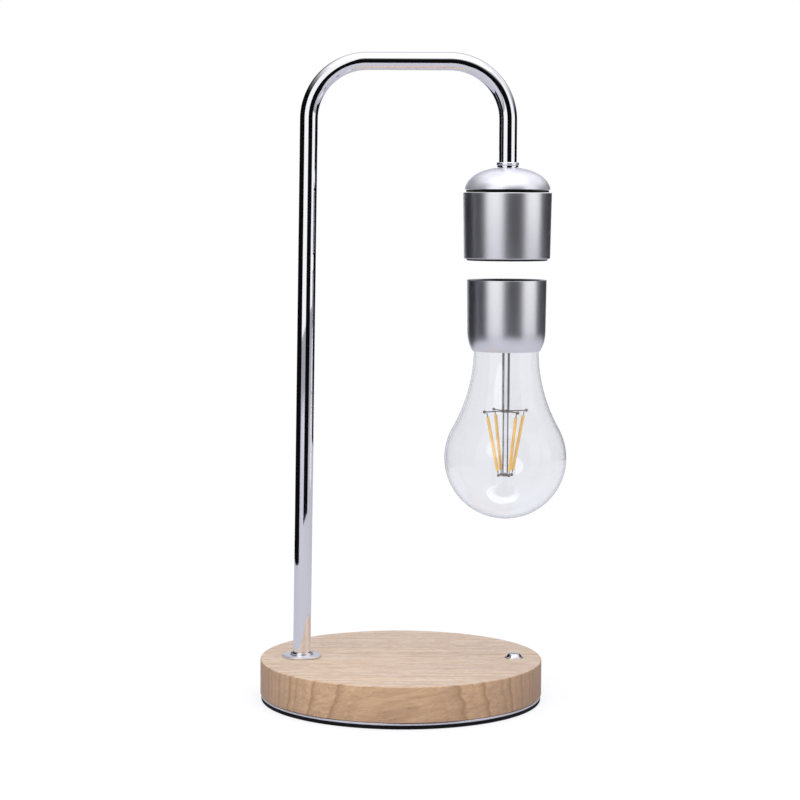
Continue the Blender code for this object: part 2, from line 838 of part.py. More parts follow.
def build_head_fixing():
    hole = tube_hole_radius
    bottom = collar_z - head_z
    top = bottom + collar_height
    neck = hole + collar_neck_wall
    ring_radius = tube_radius + collar_wall
    half = (collar_height - collar_neck_height) / 2
    bead = arc(ring_radius - half, top - half, half, math.pi / 2, -math.pi / 2, 4)
    outline = [*bead, (neck, bottom + collar_neck_height), (neck, bottom), (hole, bottom), (hole, top)]
    add_part("head_collar", turned_mesh(outline, small_steps, ring=True), "chrome", head_axis)
    hex_nut("tube_end_nut", base_axis, bulb_x, head_nut_top_z - nut_thickness, head_nut_top_z)


coil_low_z = cover_thickness + seat_gap
ferrite_low_z = coil_low_z + transmitter_coil_thickness + seat_gap
bias_low_z = ferrite_low_z + ferrite_thickness + seat_gap
bobbin_low_z = bias_low_z + bias_magnet_thickness + seat_gap
yoke_low_z = bobbin_low_z + bobbin_height + seat_gap
head_board_low_z = yoke_low_z + yoke_thickness + seat_gap
head_board_top_z = head_z + head_board_low_z + head_board_thickness


def build_head_magnet():
    core = core_diameter / 2
    round_core = core + seat_gap
    coil_top = coil_low_z + transmitter_coil_thickness
    coil = head_inner_radius - coil_inset
    ring("transmitter_coil", "copper", head_axis, coil, core + sensor_room, coil_low_z, coil_top, small_steps)
    ring("transmitter_ferrite", "ferrite", head_axis, head_inner_radius, round_core, ferrite_low_z,
         ferrite_low_z + ferrite_thickness, small_steps)
    ring("bias_magnet", "nickel", head_axis, coil, round_core, bias_low_z, bias_low_z + bias_magnet_thickness,
         small_steps)
    disc("magnet_core", "steel", head_axis, core, ferrite_low_z, yoke_low_z - seat_gap, small_steps)
    build_bobbin(round_core)
    disc("magnet_yoke", "steel", head_axis, sleeve_bore_radius - seat_gap, yoke_low_z,
         yoke_low_z + yoke_thickness, small_steps)
    disc("head_board", "board_green", head_axis, head_inner_radius, head_board_low_z,
         head_board_low_z + head_board_thickness, small_steps)
    box("hall_sensor", "black_plastic", head_axis, sensor_length, sensor_width, sensor_height, 0, 0,
        ferrite_low_z - seat_gap - sensor_height)


def build_bobbin(hole):
    """A spool with two flanges, and the copper winding that fills it."""
    outer = head_inner_radius
    hub = hole + bobbin_wall
    low = bobbin_low_z
    high = low + bobbin_height
    outline = [
        (outer, high),
        (outer, high - bobbin_wall),
        (hub, high - bobbin_wall),
        (hub, low + bobbin_wall),
        (outer, low + bobbin_wall),
        (outer, low),
        (hole, low),
        (hole, high),
    ]
    add_part("coil_bobbin", turned_mesh(outline, small_steps, ring=True), "white_plastic", head_axis)
    winding_low = low + bobbin_wall + seat_gap
    winding_high = high - bobbin_wall - seat_gap
    ring("magnet_coil", "copper", head_axis, outer - seat_gap, hub + seat_gap, winding_low, winding_high,
         small_steps)


# Floating bulb: heights in these functions are above the lowest point of the glass

cup_low = bulb_height - cup_height
cup_side = neck_radius + cup_over_neck
cup_bore = cup_side - cup_wall
inner_fit = cup_bore - seat_gap
cover_top = bulb_height - cup_cover_recess
cover_low = cover_top - cup_cover_thickness
receiver_coil_low = cover_low - seat_gap - receiver_coil_thickness
receiver_ferrite_low = receiver_coil_low - seat_gap - ferrite_thickness
magnet_top = receiver_ferrite_low - seat_gap
magnet_low = magnet_top - magnet_thickness
tray_low = magnet_low - seat_gap - tray_floor
bulb_board_low = tray_low - seat_gap - bulb_board_thickness
neck_top = cup_low + neck_in_cup
seat_top = bulb_board_low - seat_gap


def cup_curve(side, lip, count):
    """The cup's lower side: part of an ellipse from its straight side in to the lip round the mouth."""
    end = math.acos(1 - (side - lip) / cup_curve_width)
    points = []
    for i in range(count + 1):
        angle = end * i / count
        radius = side - cup_curve_width * (1 - math.cos(angle))
        points.append((radius, cup_low + cup_curve_height * (1 - math.sin(angle))))
    return points


def build_bulb_cup():
    rim = cup_side + cup_rim_flare
    mouth = neck_radius + cup_mouth_clearance
    lip = mouth + cup_lip
    inside = cup_curve(cup_bore, lip, 3)
    outline = [
        (rim - cup_rim_chamfer, bulb_height),
        (rim, bulb_height - cup_rim_chamfer),
        *cup_curve(cup_side, lip, 6),
        (lip, cup_low + cup_lip),
        (mouth, cup_low),
        (mouth, inside[-1][1]),
        *reversed(inside),
        (cup_bore, bulb_height),
    ]
    add_part("bulb_cup", turned_mesh(outline, wide_steps, ring=True), "satin_aluminium", bulb_axis)
    disc("cup_cover", "black_plastic", bulb_axis, inner_fit, cover_low, cover_top)


def build_bulb_insides():
    coil = inner_fit - receiver_inset
    ring("receiver_coil", "copper", bulb_axis, coil, coil - receiver_coil_width, receiver_coil_low,
         cover_low - seat_gap, small_steps)
    disc("receiver_ferrite", "ferrite", bulb_axis, coil, receiver_ferrite_low, receiver_coil_low - seat_gap,
         small_steps)
    disc("levitation_magnet", "nickel", bulb_axis, magnet_diameter / 2, magnet_low, magnet_top, small_steps,
         seat_gap)
    pocket = magnet_diameter / 2 + seat_gap
    outline = [
        (pocket + tray_wall, magnet_top),
        (pocket + tray_wall, tray_low + tray_floor),
        (inner_fit, tray_low + tray_floor),
        (inner_fit, tray_low),
        (0, tray_low),
        (0, tray_low + tray_floor),
        (pocket, tray_low + tray_floor),
        (pocket, magnet_top),
    ]
    add_part("magnet_tray", turned_mesh(outline, small_steps, ring=True), "white_plastic", bulb_axis)
    disc("bulb_board", "board_green", bulb_axis, inner_fit, bulb_board_low, bulb_board_low + bulb_board_thickness,
         small_steps)
    outer = inner_fit
    shelf = neck_radius - neck_seat_shelf
    round_neck = neck_radius + seat_gap
    low = cup_low + cup_curve_height / 2
    foot = neck_radius + cup_mouth_clearance + cup_lip + seat_gap
    outline = [
        (outer, seat_top),
        (outer, cup_low + cup_curve_height),
        (foot, low),
        (round_neck, low),
        (round_neck, neck_top + seat_gap),
        (shelf, neck_top + seat_gap),
        (shelf, seat_top),
    ]
    add_part("neck_seat", turned_mesh(outline, small_steps, ring=True), "white_plastic", bulb_axis)


def glass_curve(offset, count_shoulder, count_bowl):
    """The pear outline: a bowl and a hollow shoulder that meet where they are tangent, moved in by the offset."""
    shoulder_z = cup_low + shoulder_in_cup
    rise = shoulder_z - bowl_radius
    shoulder_radius = (rise**2 + neck_radius**2 - bowl_radius**2) / 2 / (bowl_radius - neck_radius)
    tangent = math.asin(rise / (bowl_radius + shoulder_radius))
    shoulder_centre = neck_radius + shoulder_radius
    points = arc(shoulder_centre, shoulder_z, shoulder_radius + offset, math.pi, math.pi + tangent, count_shoulder)
    points += arc(0, bowl_radius, bowl_radius - offset, tangent, -math.pi / 2, count_bowl)[1:]
    return points


def build_glass():
    outside = glass_curve(0, 6, 11)
    inside = glass_curve(glass_wall, 6, 9)
    outline = [(neck_radius, neck_top), *outside, *reversed(inside), (neck_radius - glass_wall, neck_top)]
    split = len(outside) + 1
    outline[split - 1] = (0, 0)
    outline[split] = (0, glass_wall)
    open_outline = outline[split:] + outline[:split]
    add_part("glass_envelope", turned_mesh(open_outline, round_steps), "glass", bulb_axis)


def build_stem():
    stem = stem_diameter / 2
    stem_end = lower_carrier_height + carrier_hub_height / 2 + seat_gap
    top = neck_top
    flare = neck_radius - glass_wall - seat_gap
    flare_low = top - stem_flare_thickness
    outline = [
        (0, top),
        (flare, top),
        (flare, flare_low),
        (flare / 2, flare_low - stem_flare_height / 4),
        (stem, flare_low - stem_flare_height),
        (stem, stem_end),
        (0, stem_end),
    ]
    add_part("glass_stem", turned_mesh(outline, tiny_steps), "glass", bulb_axis)


def carrier(name, height, reach, hub_outer, hub_inner, hub_low, hub_high):
    """Four wires with bead ends, joined to a small hub on the stem."""
    if hub_inner:
        hub_mesh = turned_mesh(ring_outline(hub_outer, hub_inner, hub_low, hub_high), tiny_steps, ring=True)
    else:
        hub_mesh = turned_mesh(disc_outline(hub_outer, hub_low, hub_high), tiny_steps)
    hub = add_part(name, hub_mesh, "nickel", bulb_axis)
    start = (hub_inner + hub_outer) / 2
    for number, (along, across) in enumerate(arm_directions(), 1):
        route = [Vector((along * d, across * d, height)) for d in (start, reach)]
        wire = make_cutter(f"{name}_wire_{number}", curve_mesh(route, carrier_wire, 1))
        wire.parent = bulb_axis
        combine(hub, wire, "UNION")
        bead = bpy.data.meshes.new("bead")
        work = bmesh.new()
        bmesh.ops.create_uvsphere(work, u_segments=8, v_segments=5, radius=carrier_bead / 2)
        bmesh.ops.translate(work, vec=(along * reach, across * reach, height), verts=work.verts)
        work.to_mesh(bead)
        work.free()
        end = make_cutter(f"{name}_bead_{number}", bead)
        end.parent = bulb_axis
        combine(hub, end, "UNION")


def arm_directions():
    for i in range(filament_count):
        angle = carrier_turn + 2 * math.pi * i / filament_count
        yield math.cos(angle), math.sin(angle)


def filament_outline(length):
    """A coated stick with a thin pin at each end. It hangs down from height zero."""
    stick = filament_diameter / 2
    pin = filament_pin_diameter / 2
    return [
        (0, 0),
        (pin, 0),
        (pin, -filament_top_pin),
        (stick, -filament_top_pin),
        (stick, filament_bottom_pin - length),
        (pin, filament_bottom_pin - length),
        (pin, -length),
        (0, -length),
    ]


def build_filaments():
    stem = stem_diameter / 2
    hub_inner = stem + seat_gap
    half = carrier_hub_height / 2
    carrier("upper_carrier", upper_carrier_height, upper_carrier_reach, hub_inner + carrier_hub_wall, hub_inner,
            upper_carrier_height - half, upper_carrier_height + half)
    carrier("lower_carrier", lower_carrier_height, lower_carrier_reach, stem, 0,
            lower_carrier_height - half, lower_carrier_height + half)
    top_clear = carrier_wire / 2 + filament_end_gap
    bottom_clear = carrier_bead / 2 + filament_end_gap
    for number, (along, across) in enumerate(arm_directions(), 1):
        high = Vector((along * upper_filament_radius, across * upper_filament_radius, upper_carrier_height))
        low = Vector((along * lower_carrier_reach, across * lower_carrier_reach, lower_carrier_height))
        run = (low - high).normalized()
        top = high + run * top_clear
        length = (low - high).length - top_clear - bottom_clear
        stick = turned_mesh(filament_outline(length), tiny_steps)
        stick.transform(Matrix.Translation(top) @ (-run).to_track_quat("Z", "Y").to_matrix().to_4x4())
        add_part(f"filament_{number}", stick, "filament_amber", bulb_axis)


def build_stem_leads():
    beside = stem_diameter / 2 + stem_lead_wire / 2 + seat_gap
    bottom = upper_carrier_height + carrier_hub_height / 2 + seat_gap
    top = neck_top - stem_flare_thickness - stem_flare_height
    for number, (along, across) in enumerate(arm_directions(), 1):
        if number % 2:
            route = [Vector((along * beside, across * beside, height)) for height in (bottom, top)]
            lead = curve_mesh(route, stem_lead_wire, 1)
            add_part(f"stem_lead_{(number + 1) // 2}", lead, "nickel", bulb_axis)


clear_scene()
lamp = new_collection("levitating_lamp")
cutters = new_collection("cutters")
base_axis = new_axis("base_axis", 0, 0, 0)
button_axis = new_axis("button_axis", button_x, 0, base_top_z)
head_axis = new_axis("head_axis", bulb_x, 0, head_z)
bulb_axis = new_axis("bulb_axis", bulb_x, 0, bulb_z)

build_wood_base()
build_foot()
build_base_screws()
build_arm_tube()
build_arm_lead()
build_post_fixing()
build_control_board()
build_power_inlet()
build_button()
build_button_spring()
build_switch()
build_head_shells()
build_head_dome()
build_head_fixing()
build_head_magnet()
build_bulb_cup()
build_bulb_insides()
build_glass()
build_stem()
build_filaments()
build_stem_leads()
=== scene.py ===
# %% [markdown]
# # Dressing a levitating lamp
# The construction of the lamp arrives finished: every piece at its real size, on the body that it moves with.
# This script gives each piece its surface. It builds fine meshes over the plain ones where a curve shows,
# makes the materials from nodes, and sets up a small studio round the lamp.
# It could also be one long list of commands, but a cell for each piece is easier to try out and change.

# %% Load the lamp
import json
import math

import bmesh
import bpy
from mathutils import Matrix, Vector

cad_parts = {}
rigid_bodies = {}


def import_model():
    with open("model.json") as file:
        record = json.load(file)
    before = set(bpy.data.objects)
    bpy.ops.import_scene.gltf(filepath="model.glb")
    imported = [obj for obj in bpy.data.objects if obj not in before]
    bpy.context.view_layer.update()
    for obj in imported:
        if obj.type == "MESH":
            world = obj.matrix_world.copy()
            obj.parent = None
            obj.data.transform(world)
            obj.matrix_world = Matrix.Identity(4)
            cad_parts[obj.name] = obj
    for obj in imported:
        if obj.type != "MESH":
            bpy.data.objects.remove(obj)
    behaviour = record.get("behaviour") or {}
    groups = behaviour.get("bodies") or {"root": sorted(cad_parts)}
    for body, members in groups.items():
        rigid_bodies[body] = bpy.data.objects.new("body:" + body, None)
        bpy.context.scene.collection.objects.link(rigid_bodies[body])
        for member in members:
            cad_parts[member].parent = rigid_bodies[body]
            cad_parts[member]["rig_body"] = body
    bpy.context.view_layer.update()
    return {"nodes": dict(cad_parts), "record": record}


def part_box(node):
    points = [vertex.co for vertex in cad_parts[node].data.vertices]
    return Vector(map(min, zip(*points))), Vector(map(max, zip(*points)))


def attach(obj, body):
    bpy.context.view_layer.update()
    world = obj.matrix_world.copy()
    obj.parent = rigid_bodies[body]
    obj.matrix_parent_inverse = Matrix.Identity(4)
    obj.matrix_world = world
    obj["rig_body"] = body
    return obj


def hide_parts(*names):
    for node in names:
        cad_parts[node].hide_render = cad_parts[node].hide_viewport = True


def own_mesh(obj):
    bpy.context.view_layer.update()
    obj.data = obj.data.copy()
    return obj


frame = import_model()
print("pieces in the frame:", len(frame["nodes"]))

# %% [markdown]
# ## Measures taken from the frame
# Later cells ask for the same few places again and again: the axis of the post, the axis of the bulb and the
# heights of the main parts. They could be typed as numbers, but then a change of the lamp would leave the
# dressing behind. Here each one is read from the box round a piece.

# %% Main axes and heights


def box_of(node):
    low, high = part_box(node)
    return Vector(low), Vector(high)


def height_range(node):
    low, high = box_of(node)
    return low.z, high.z


def centre_of(node):
    low, high = box_of(node)
    return (low + high) / 2


def radius_of(node):
    low, high = box_of(node)
    return (high.y - low.y) / 2


base_radius = radius_of("wood_base")
wood_low, wood_top = height_range("wood_base")
bulb_x = centre_of("bulb_cup").x
post_x = centre_of("post_flange").x
button_x = centre_of("button_cap").x
arm_top = height_range("arm_tube")[1]
bulb_low = height_range("glass_envelope")[0]
print(f"base {2000 * base_radius:.1f} mm across, arm top at {1000 * arm_top:.1f} mm")
print(f"bulb axis at {1000 * bulb_x:.1f} mm")

# %% [markdown]
# ## The camera
# A product photographer stands well back with a long lens, so that the base doesn't swell towards the viewer.
# The distance, the height and the lens here were worked out from the two rims of the round base: how flat its
# ellipse looks gives the angle, and the change of scale from foot to arm gives the distance.

# %% Camera
image_width = 800
sensor_width = 36.0
focal_pixels = 2222
camera_distance = 1.25
camera_height = 0.2788
camera_offset = -0.0012
camera_pitch = math.radians(4.956)
camera_roll = math.radians(0.265)

camera_data = bpy.data.cameras.new("studio_camera")
camera_data.sensor_width = sensor_width
camera_data.lens = focal_pixels / image_width * sensor_width
camera = bpy.data.objects.new("studio_camera", camera_data)
bpy.context.scene.collection.objects.link(camera)
stand = Matrix.Translation((camera_offset, -camera_distance, camera_height))
aim = Matrix.Rotation(math.pi / 2 - camera_pitch, 4, "X") @ Matrix.Rotation(camera_roll, 4, "Z")
camera.matrix_world = stand @ aim
bpy.context.scene.camera = camera
print(f"lens {camera_data.lens:.1f} mm, {camera_distance:.2f} m in front of the lamp")

# %% [markdown]
# ## Helpers for nodes
# Every material below is a small network of nodes. Writing each node in four or five lines would hide the idea
# behind the typing, so one helper adds a node, sets its inputs by name and joins it to others.
# A value that is another node's output becomes a link, and any other value is set on the socket itself.

# %% Node helper


def add_node(tree, kind, settings=None, **inputs):
    """Adds a node. An input given as an output socket is linked, and anything else is its fixed value."""
    node = tree.nodes.new(kind)
    for name, value in (settings or {}).items():
        setattr(node, name, value)
    for name, value in inputs.items():
        by_number = name[0] == "i" and name[1:].isdigit()
        socket = node.inputs[int(name[1:])] if by_number else node.inputs[name.replace("_", " ")]
        if isinstance(value, bpy.types.NodeSocket):
            tree.links.new(value, socket)
        else:
            socket.default_value = value
    return node


def maths(tree, operation, first, second=0.0, clamp=False):
    node = add_node(tree, "ShaderNodeMath", {"operation": operation, "use_clamp": clamp}, i0=first, i1=second)
    return node.outputs[0]


def colour_mix(tree, factor, first, second, blend="MIX"):
    node = add_node(tree, "ShaderNodeMix", {"data_type": "RGBA", "blend_type": blend}, i0=factor, i6=first, i7=second)
    return node.outputs[2]


def remap(tree, value, from_low, from_high, to_low, to_high):
    limits = {"i1": from_low, "i2": from_high, "i3": to_low, "i4": to_high}
    return add_node(tree, "ShaderNodeMapRange", {"clamp": True}, i0=value, **limits).outputs[0]


def noise(tree, vector, scale, detail=2.0, roughness=0.5):
    node = add_node(tree, "ShaderNodeTexNoise", None, Vector=vector, Scale=scale, Detail=detail, Roughness=roughness)
    return node.outputs["Fac"]


def stretched(tree, vector, x, y, z):
    """The coordinates with each axis scaled by itself, so that a round speck becomes a fibre."""
    node = add_node(tree, "ShaderNodeVectorMath", {"operation": "MULTIPLY"}, i0=vector, i1=(x, y, z))
    return node.outputs[0]


def axes_of(tree, vector):
    """The X, Y and Z outputs of a vector."""
    return add_node(tree, "ShaderNodeSeparateXYZ", None, Vector=vector).outputs


def rgb(red, green, blue):
    """A colour as an image editor shows it, 0 to 255, turned into the linear values that shaders use."""
    linear = []
    for value in (red, green, blue):
        part = value / 255
        linear.append(part / 12.92 if part <= 0.04045 else ((part + 0.055) / 1.055) ** 2.4)
    return (*linear, 1.0)


print("wood colour in linear light:", [round(v, 3) for v in rgb(222, 203, 187)[:3]])

# %% [markdown]
# ## Shared effect: fine wear
# Nothing that has been handled is perfectly even. Polished steel has hairline scratches and a trace of dust, and
# plastic has a soft variation in its gloss. A painted image could hold these marks, but noise works at any
# distance and needs no file. It is built once as a node group, and each material gives it its own amounts.

# %% Fine wear group


def new_group(name, inputs, outputs):
    """A shader node group with named sockets. Each is a name, a socket type and, for an input, its default."""
    group = bpy.data.node_groups.new(name, "ShaderNodeTree")
    for label, kind, default in inputs:
        socket = group.interface.new_socket(name=label, in_out="INPUT", socket_type=kind)
        if default is not None:
            socket.default_value = default
    for label, kind in outputs:
        group.interface.new_socket(name=label, in_out="OUTPUT", socket_type=kind)
    group_in = group.nodes.new("NodeGroupInput")
    group_out = group.nodes.new("NodeGroupOutput")
    return group, group_in.outputs, group_out.inputs


def make_fine_wear():
    group, given, result = new_group(
        "fine_wear",
        [
            ("Vector", "NodeSocketVector", None),
            ("Roughness", "NodeSocketFloat", 0.2),
            ("Uneven Gloss", "NodeSocketFloat", 0.05),
            ("Scratches", "NodeSocketFloat", 0.2),
            ("Dust", "NodeSocketFloat", 0.1),
        ],
        [("Roughness", "NodeSocketFloat"), ("Height", "NodeSocketFloat"), ("Dust", "NodeSocketFloat")],
    )
    cloud = noise(group, given["Vector"], 90.0, 3.0)
    uneven = maths(group, "MULTIPLY", maths(group, "SUBTRACT", cloud, 0.5), given["Uneven Gloss"])
    slanted = stretched(group, given["Vector"], 900.0, 700.0, 60.0)
    crossed = stretched(group, given["Vector"], 80.0, 950.0, 800.0)
    first = remap(group, noise(group, slanted, 1.0, 2.0), 0.66, 0.72, 0.0, 1.0)
    second = remap(group, noise(group, crossed, 1.0, 2.0), 0.67, 0.73, 0.0, 1.0)
    hairlines = maths(group, "MULTIPLY", maths(group, "MAXIMUM", first, second), given["Scratches"])
    specks = remap(group, noise(group, given["Vector"], 2600.0, 1.0), 0.70, 0.78, 0.0, 1.0)
    drift = remap(group, noise(group, given["Vector"], 35.0, 2.0), 0.45, 0.7, 0.0, 1.0)
    dust = maths(group, "MULTIPLY", maths(group, "MULTIPLY", specks, drift), given["Dust"])
    gloss = maths(group, "ADD", given["Roughness"], uneven)
    rough = maths(group, "ADD", gloss, maths(group, "MULTIPLY", hairlines, 0.25))
    group.links.new(maths(group, "ADD", rough, maths(group, "MULTIPLY", dust, 0.5), True), result["Roughness"])
    group.links.new(maths(group, "SUBTRACT", dust, hairlines), result["Height"])
    group.links.new(dust, result["Dust"])
    return group


fine_wear = make_fine_wear()
print("fine wear outputs:", [s.name for s in fine_wear.interface.items_tree if s.in_out == "OUTPUT"])

# %% [markdown]
# ## Shared effect: lathe lines
# The head, the cup and the steel plate are turned or brushed while they spin, which leaves very fine lines
# round the axis. Real lines are thinner than a pixel here, so they only show as a soft variation along the
# height. Stretched noise gives that: it changes quickly along Z and slowly round the axis.

# %% Lathe lines group


def make_lathe_lines():
    group, given, result = new_group(
        "lathe_lines",
        [
            ("Vector", "NodeSocketVector", None),
            ("Lines", "NodeSocketFloat", 9000.0),
            ("Depth", "NodeSocketFloat", 0.5),
        ],
        [("Value", "NodeSocketFloat"), ("Height", "NodeSocketFloat")],
    )
    axes = axes_of(group, given["Vector"])
    across = add_node(group, "ShaderNodeVectorMath", {"operation": "LENGTH"}, i0=given["Vector"]).outputs["Value"]
    lines = add_node(
        group,
        "ShaderNodeCombineXYZ",
        None,
        X=maths(group, "MULTIPLY", axes["X"], 25.0),
        Y=maths(group, "MULTIPLY", axes["Y"], 25.0),
        Z=maths(group, "MULTIPLY", maths(group, "ADD", axes["Z"], across), given["Lines"]),
    )
    value = noise(group, lines.outputs[0], 1.0, 3.0, 0.6)
    group.links.new(value, result["Value"])
    group.links.new(maths(group, "MULTIPLY", value, given["Depth"]), result["Height"])
    return group


lathe_lines = make_lathe_lines()
print("lathe lines inputs:", [s.name for s in lathe_lines.interface.items_tree if s.in_out == "INPUT"])

# %% [markdown]
# ## A start for every material
# Each material is a Principled shader with its fixed values on its own sockets, and the groups feed only what
# changes over the surface: roughness and the height of a bump.
# Object coordinates are used throughout. They stay with the piece when it moves, and need no unwrapping.

# %% Material start


def new_material(name, colour, roughness, metallic=0.0, **fixed):
    material = bpy.data.materials.new(name)
    material.use_nodes = True
    tree = material.node_tree
    shader = tree.nodes["Principled BSDF"]
    shader.inputs["Base Color"].default_value = colour
    shader.inputs["Roughness"].default_value = roughness
    shader.inputs["Metallic"].default_value = metallic
    for label, value in fixed.items():
        shader.inputs[label.replace("_", " ")].default_value = value
    place = tree.nodes.new("ShaderNodeTexCoord").outputs["Object"]
    return material, tree, shader, place


def add_group(tree, group, **inputs):
    node = tree.nodes.new("ShaderNodeGroup")
    node.node_tree = group
    for label, value in inputs.items():
        socket = node.inputs[label.replace("_", " ")]
        if isinstance(value, bpy.types.NodeSocket):
            tree.links.new(value, socket)
        else:
            socket.default_value = value
    return node.outputs


def add_bump(tree, shader, height, distance, strength=1.0):
    bump = add_node(tree, "ShaderNodeBump", None, Strength=strength, Distance=distance, Height=height)
    tree.links.new(bump.outputs["Normal"], shader.inputs["Normal"])


def worn_material(name, colour, roughness, metallic=0.0, uneven=0.05, scratches=0.1, dust=0.1, depth=0.00001, **fixed):
    """A plain finish with the fine wear on it."""
    material, tree, shader, place = new_material(name, colour, roughness, metallic, **fixed)
    wear = add_group(
        tree, fine_wear, Vector=place, Roughness=roughness, Uneven_Gloss=uneven, Scratches=scratches, Dust=dust
    )
    tree.links.new(wear["Roughness"], shader.inputs["Roughness"])
    add_bump(tree, shader, wear["Height"], depth)
    return material, tree, shader, place, wear


# %% [markdown]
# ## Chrome
# The arm, its flange, the collar, the dome and the button are polished and chrome plated. Chrome has hardly a
# colour of its own: what makes it look like chrome is what it reflects, which the studio at the end supplies.
# Its base colour is a little cold, and its roughness is low and only slightly uneven.

# %% Chrome
chrome, *_ = worn_material(
    "chrome", rgb(244, 244, 249), 0.03, metallic=1.0, uneven=0.03, scratches=0.0, dust=0.0, depth=0.0000001
)

# %% [markdown]
# ## Pearl chrome
# The dome on the head has a softer finish than the tube: a pearly silver coat, which shows the same studio with
# soft borders and greys between its dark and bright parts. Metal alone would stay too contrasty, so the coat is
# only partly metallic, and the rest of it scatters light as paint does.

# %% Pearl chrome
pearl_chrome, *_ = worn_material(
    "pearl_chrome", rgb(240, 240, 249), 0.3, metallic=0.62, uneven=0.03, scratches=0.0, dust=0.0, depth=0.0000001
)

# %% [markdown]
# ## Satin metal
# The head's sleeve and the bulb's cup are satin aluminium: they blur the studio into soft upright bands, with a
# very fine grain. An even roughness alone looks like grey plastic, so the lathe lines and a fine grain vary it.

# %% Satin metal


def make_satin_metal():
    material, tree, shader, place, wear = worn_material(
        "satin_metal", rgb(246, 246, 253), 0.33, metallic=1.0, uneven=0.04, scratches=0.0, dust=0.02
    )
    lines = add_group(tree, lathe_lines, Vector=place, Lines=2600.0, Depth=0.35)
    grain = noise(tree, place, 3600.0, 2.0, 0.7)
    height = maths(tree, "ADD", lines["Height"], maths(tree, "MULTIPLY", grain, 0.5))
    add_bump(tree, shader, height, 0.0000006)
    tone = remap(tree, grain, 0.3, 0.7, 0.0, 1.0)
    colour = colour_mix(tree, tone, rgb(242, 242, 250), rgb(252, 252, 255))
    tree.links.new(colour, shader.inputs["Base Color"])
    line_gloss = maths(tree, "MULTIPLY", maths(tree, "SUBTRACT", lines["Value"], 0.5), 0.05)
    rough = maths(tree, "ADD", wear["Roughness"], line_gloss)
    tree.links.new(rough, shader.inputs["Roughness"])
    return material


satin_metal = make_satin_metal()

# %% [markdown]
# ## Wood
# The base is a disc of pale, open-grained hardwood, sawn so that the growth rings stand upright in the plank.
# A slice through upright rings gives straight, slightly wavy lines on the top, a broad wild figure where the
# front of the disc runs along the rings, and close upright lines towards its two ends. So the rings are made
# once, as layers across Y with some waviness, and the disc simply cuts through them, as it does on a lathe.
# Over them lie fine fibres and short dark pores, both drawn out along the plank.

# %% Wood


def make_wood_grain():
    group, given, result = new_group(
        "wood_grain",
        [
            ("Vector", "NodeSocketVector", None),
            ("Ring Width", "NodeSocketFloat", 0.004),
            ("Waviness", "NodeSocketFloat", 0.006),
        ],
        [
            ("Rings", "NodeSocketFloat"),
            ("Soft Rings", "NodeSocketFloat"),
            ("Fibres", "NodeSocketFloat"),
            ("Streaks", "NodeSocketFloat"),
            ("Pores", "NodeSocketFloat"),
            ("Tone", "NodeSocketFloat"),
        ],
    )
    turn = add_node(group, "ShaderNodeVectorRotate", {"rotation_type": "Y_AXIS"}, Vector=given["Vector"], Angle=0.16)
    tilted = turn.outputs[0]
    axes = axes_of(group, given["Vector"])
    slow = noise(group, stretched(group, given["Vector"], 9.0, 20.0, 55.0), 1.0, 2.0)
    quick = noise(group, stretched(group, given["Vector"], 45.0, 150.0, 190.0), 1.0, 3.0)
    sway = maths(group, "MULTIPLY", maths(group, "SUBTRACT", slow, 0.5), given["Waviness"])
    tremble = maths(group, "MULTIPLY", maths(group, "SUBTRACT", quick, 0.5), 0.0018)
    across = maths(group, "ADD", maths(group, "ADD", axes["Y"], sway), tremble)
    leaning = maths(group, "ADD", across, maths(group, "MULTIPLY", axes["Z"], 0.12))
    turns = maths(group, "DIVIDE", leaning, given["Ring Width"])
    part = maths(group, "FRACT", turns)
    rise = remap(group, part, 0.30, 0.80, 0.0, 1.0)
    fall = remap(group, part, 0.84, 1.0, 0.0, 1.0)
    ring = maths(group, "MULTIPLY", maths(group, "POWER", rise, 2.0), maths(group, "SUBTRACT", 1.0, fall))
    ring_number = maths(group, "FLOOR", turns)
    ring_noise = add_node(group, "ShaderNodeTexWhiteNoise", {"noise_dimensions": "1D"}, W=ring_number)
    ring_strength = remap(group, ring_noise.outputs["Value"], 0.0, 1.0, 0.12, 1.0)
    fibres = noise(group, stretched(group, tilted, 110.0, 1500.0, 1500.0), 1.0, 3.0, 0.6)
    streaks = noise(group, stretched(group, tilted, 26.0, 260.0, 430.0), 1.0, 3.0, 0.6)
    pore_noise = noise(group, stretched(group, tilted, 230.0, 2600.0, 2600.0), 1.0, 1.0)
    pores = remap(group, pore_noise, 0.66, 0.74, 0.0, 1.0)
    tone = noise(group, stretched(group, given["Vector"], 10.0, 45.0, 45.0), 1.0, 3.0)
    slow_rise = remap(group, part, 0.0, 0.86, 0.0, 1.0)
    soft_ring = maths(group, "MULTIPLY", slow_rise, maths(group, "SUBTRACT", 1.0, fall))
    figure = {
        "Rings": maths(group, "MULTIPLY", ring, ring_strength),
        "Soft Rings": maths(group, "MULTIPLY", soft_ring, ring_strength),
        "Fibres": fibres,
        "Streaks": streaks,
        "Pores": pores,
        "Tone": tone,
    }
    for label, value in figure.items():
        group.links.new(value, result[label])
    return group


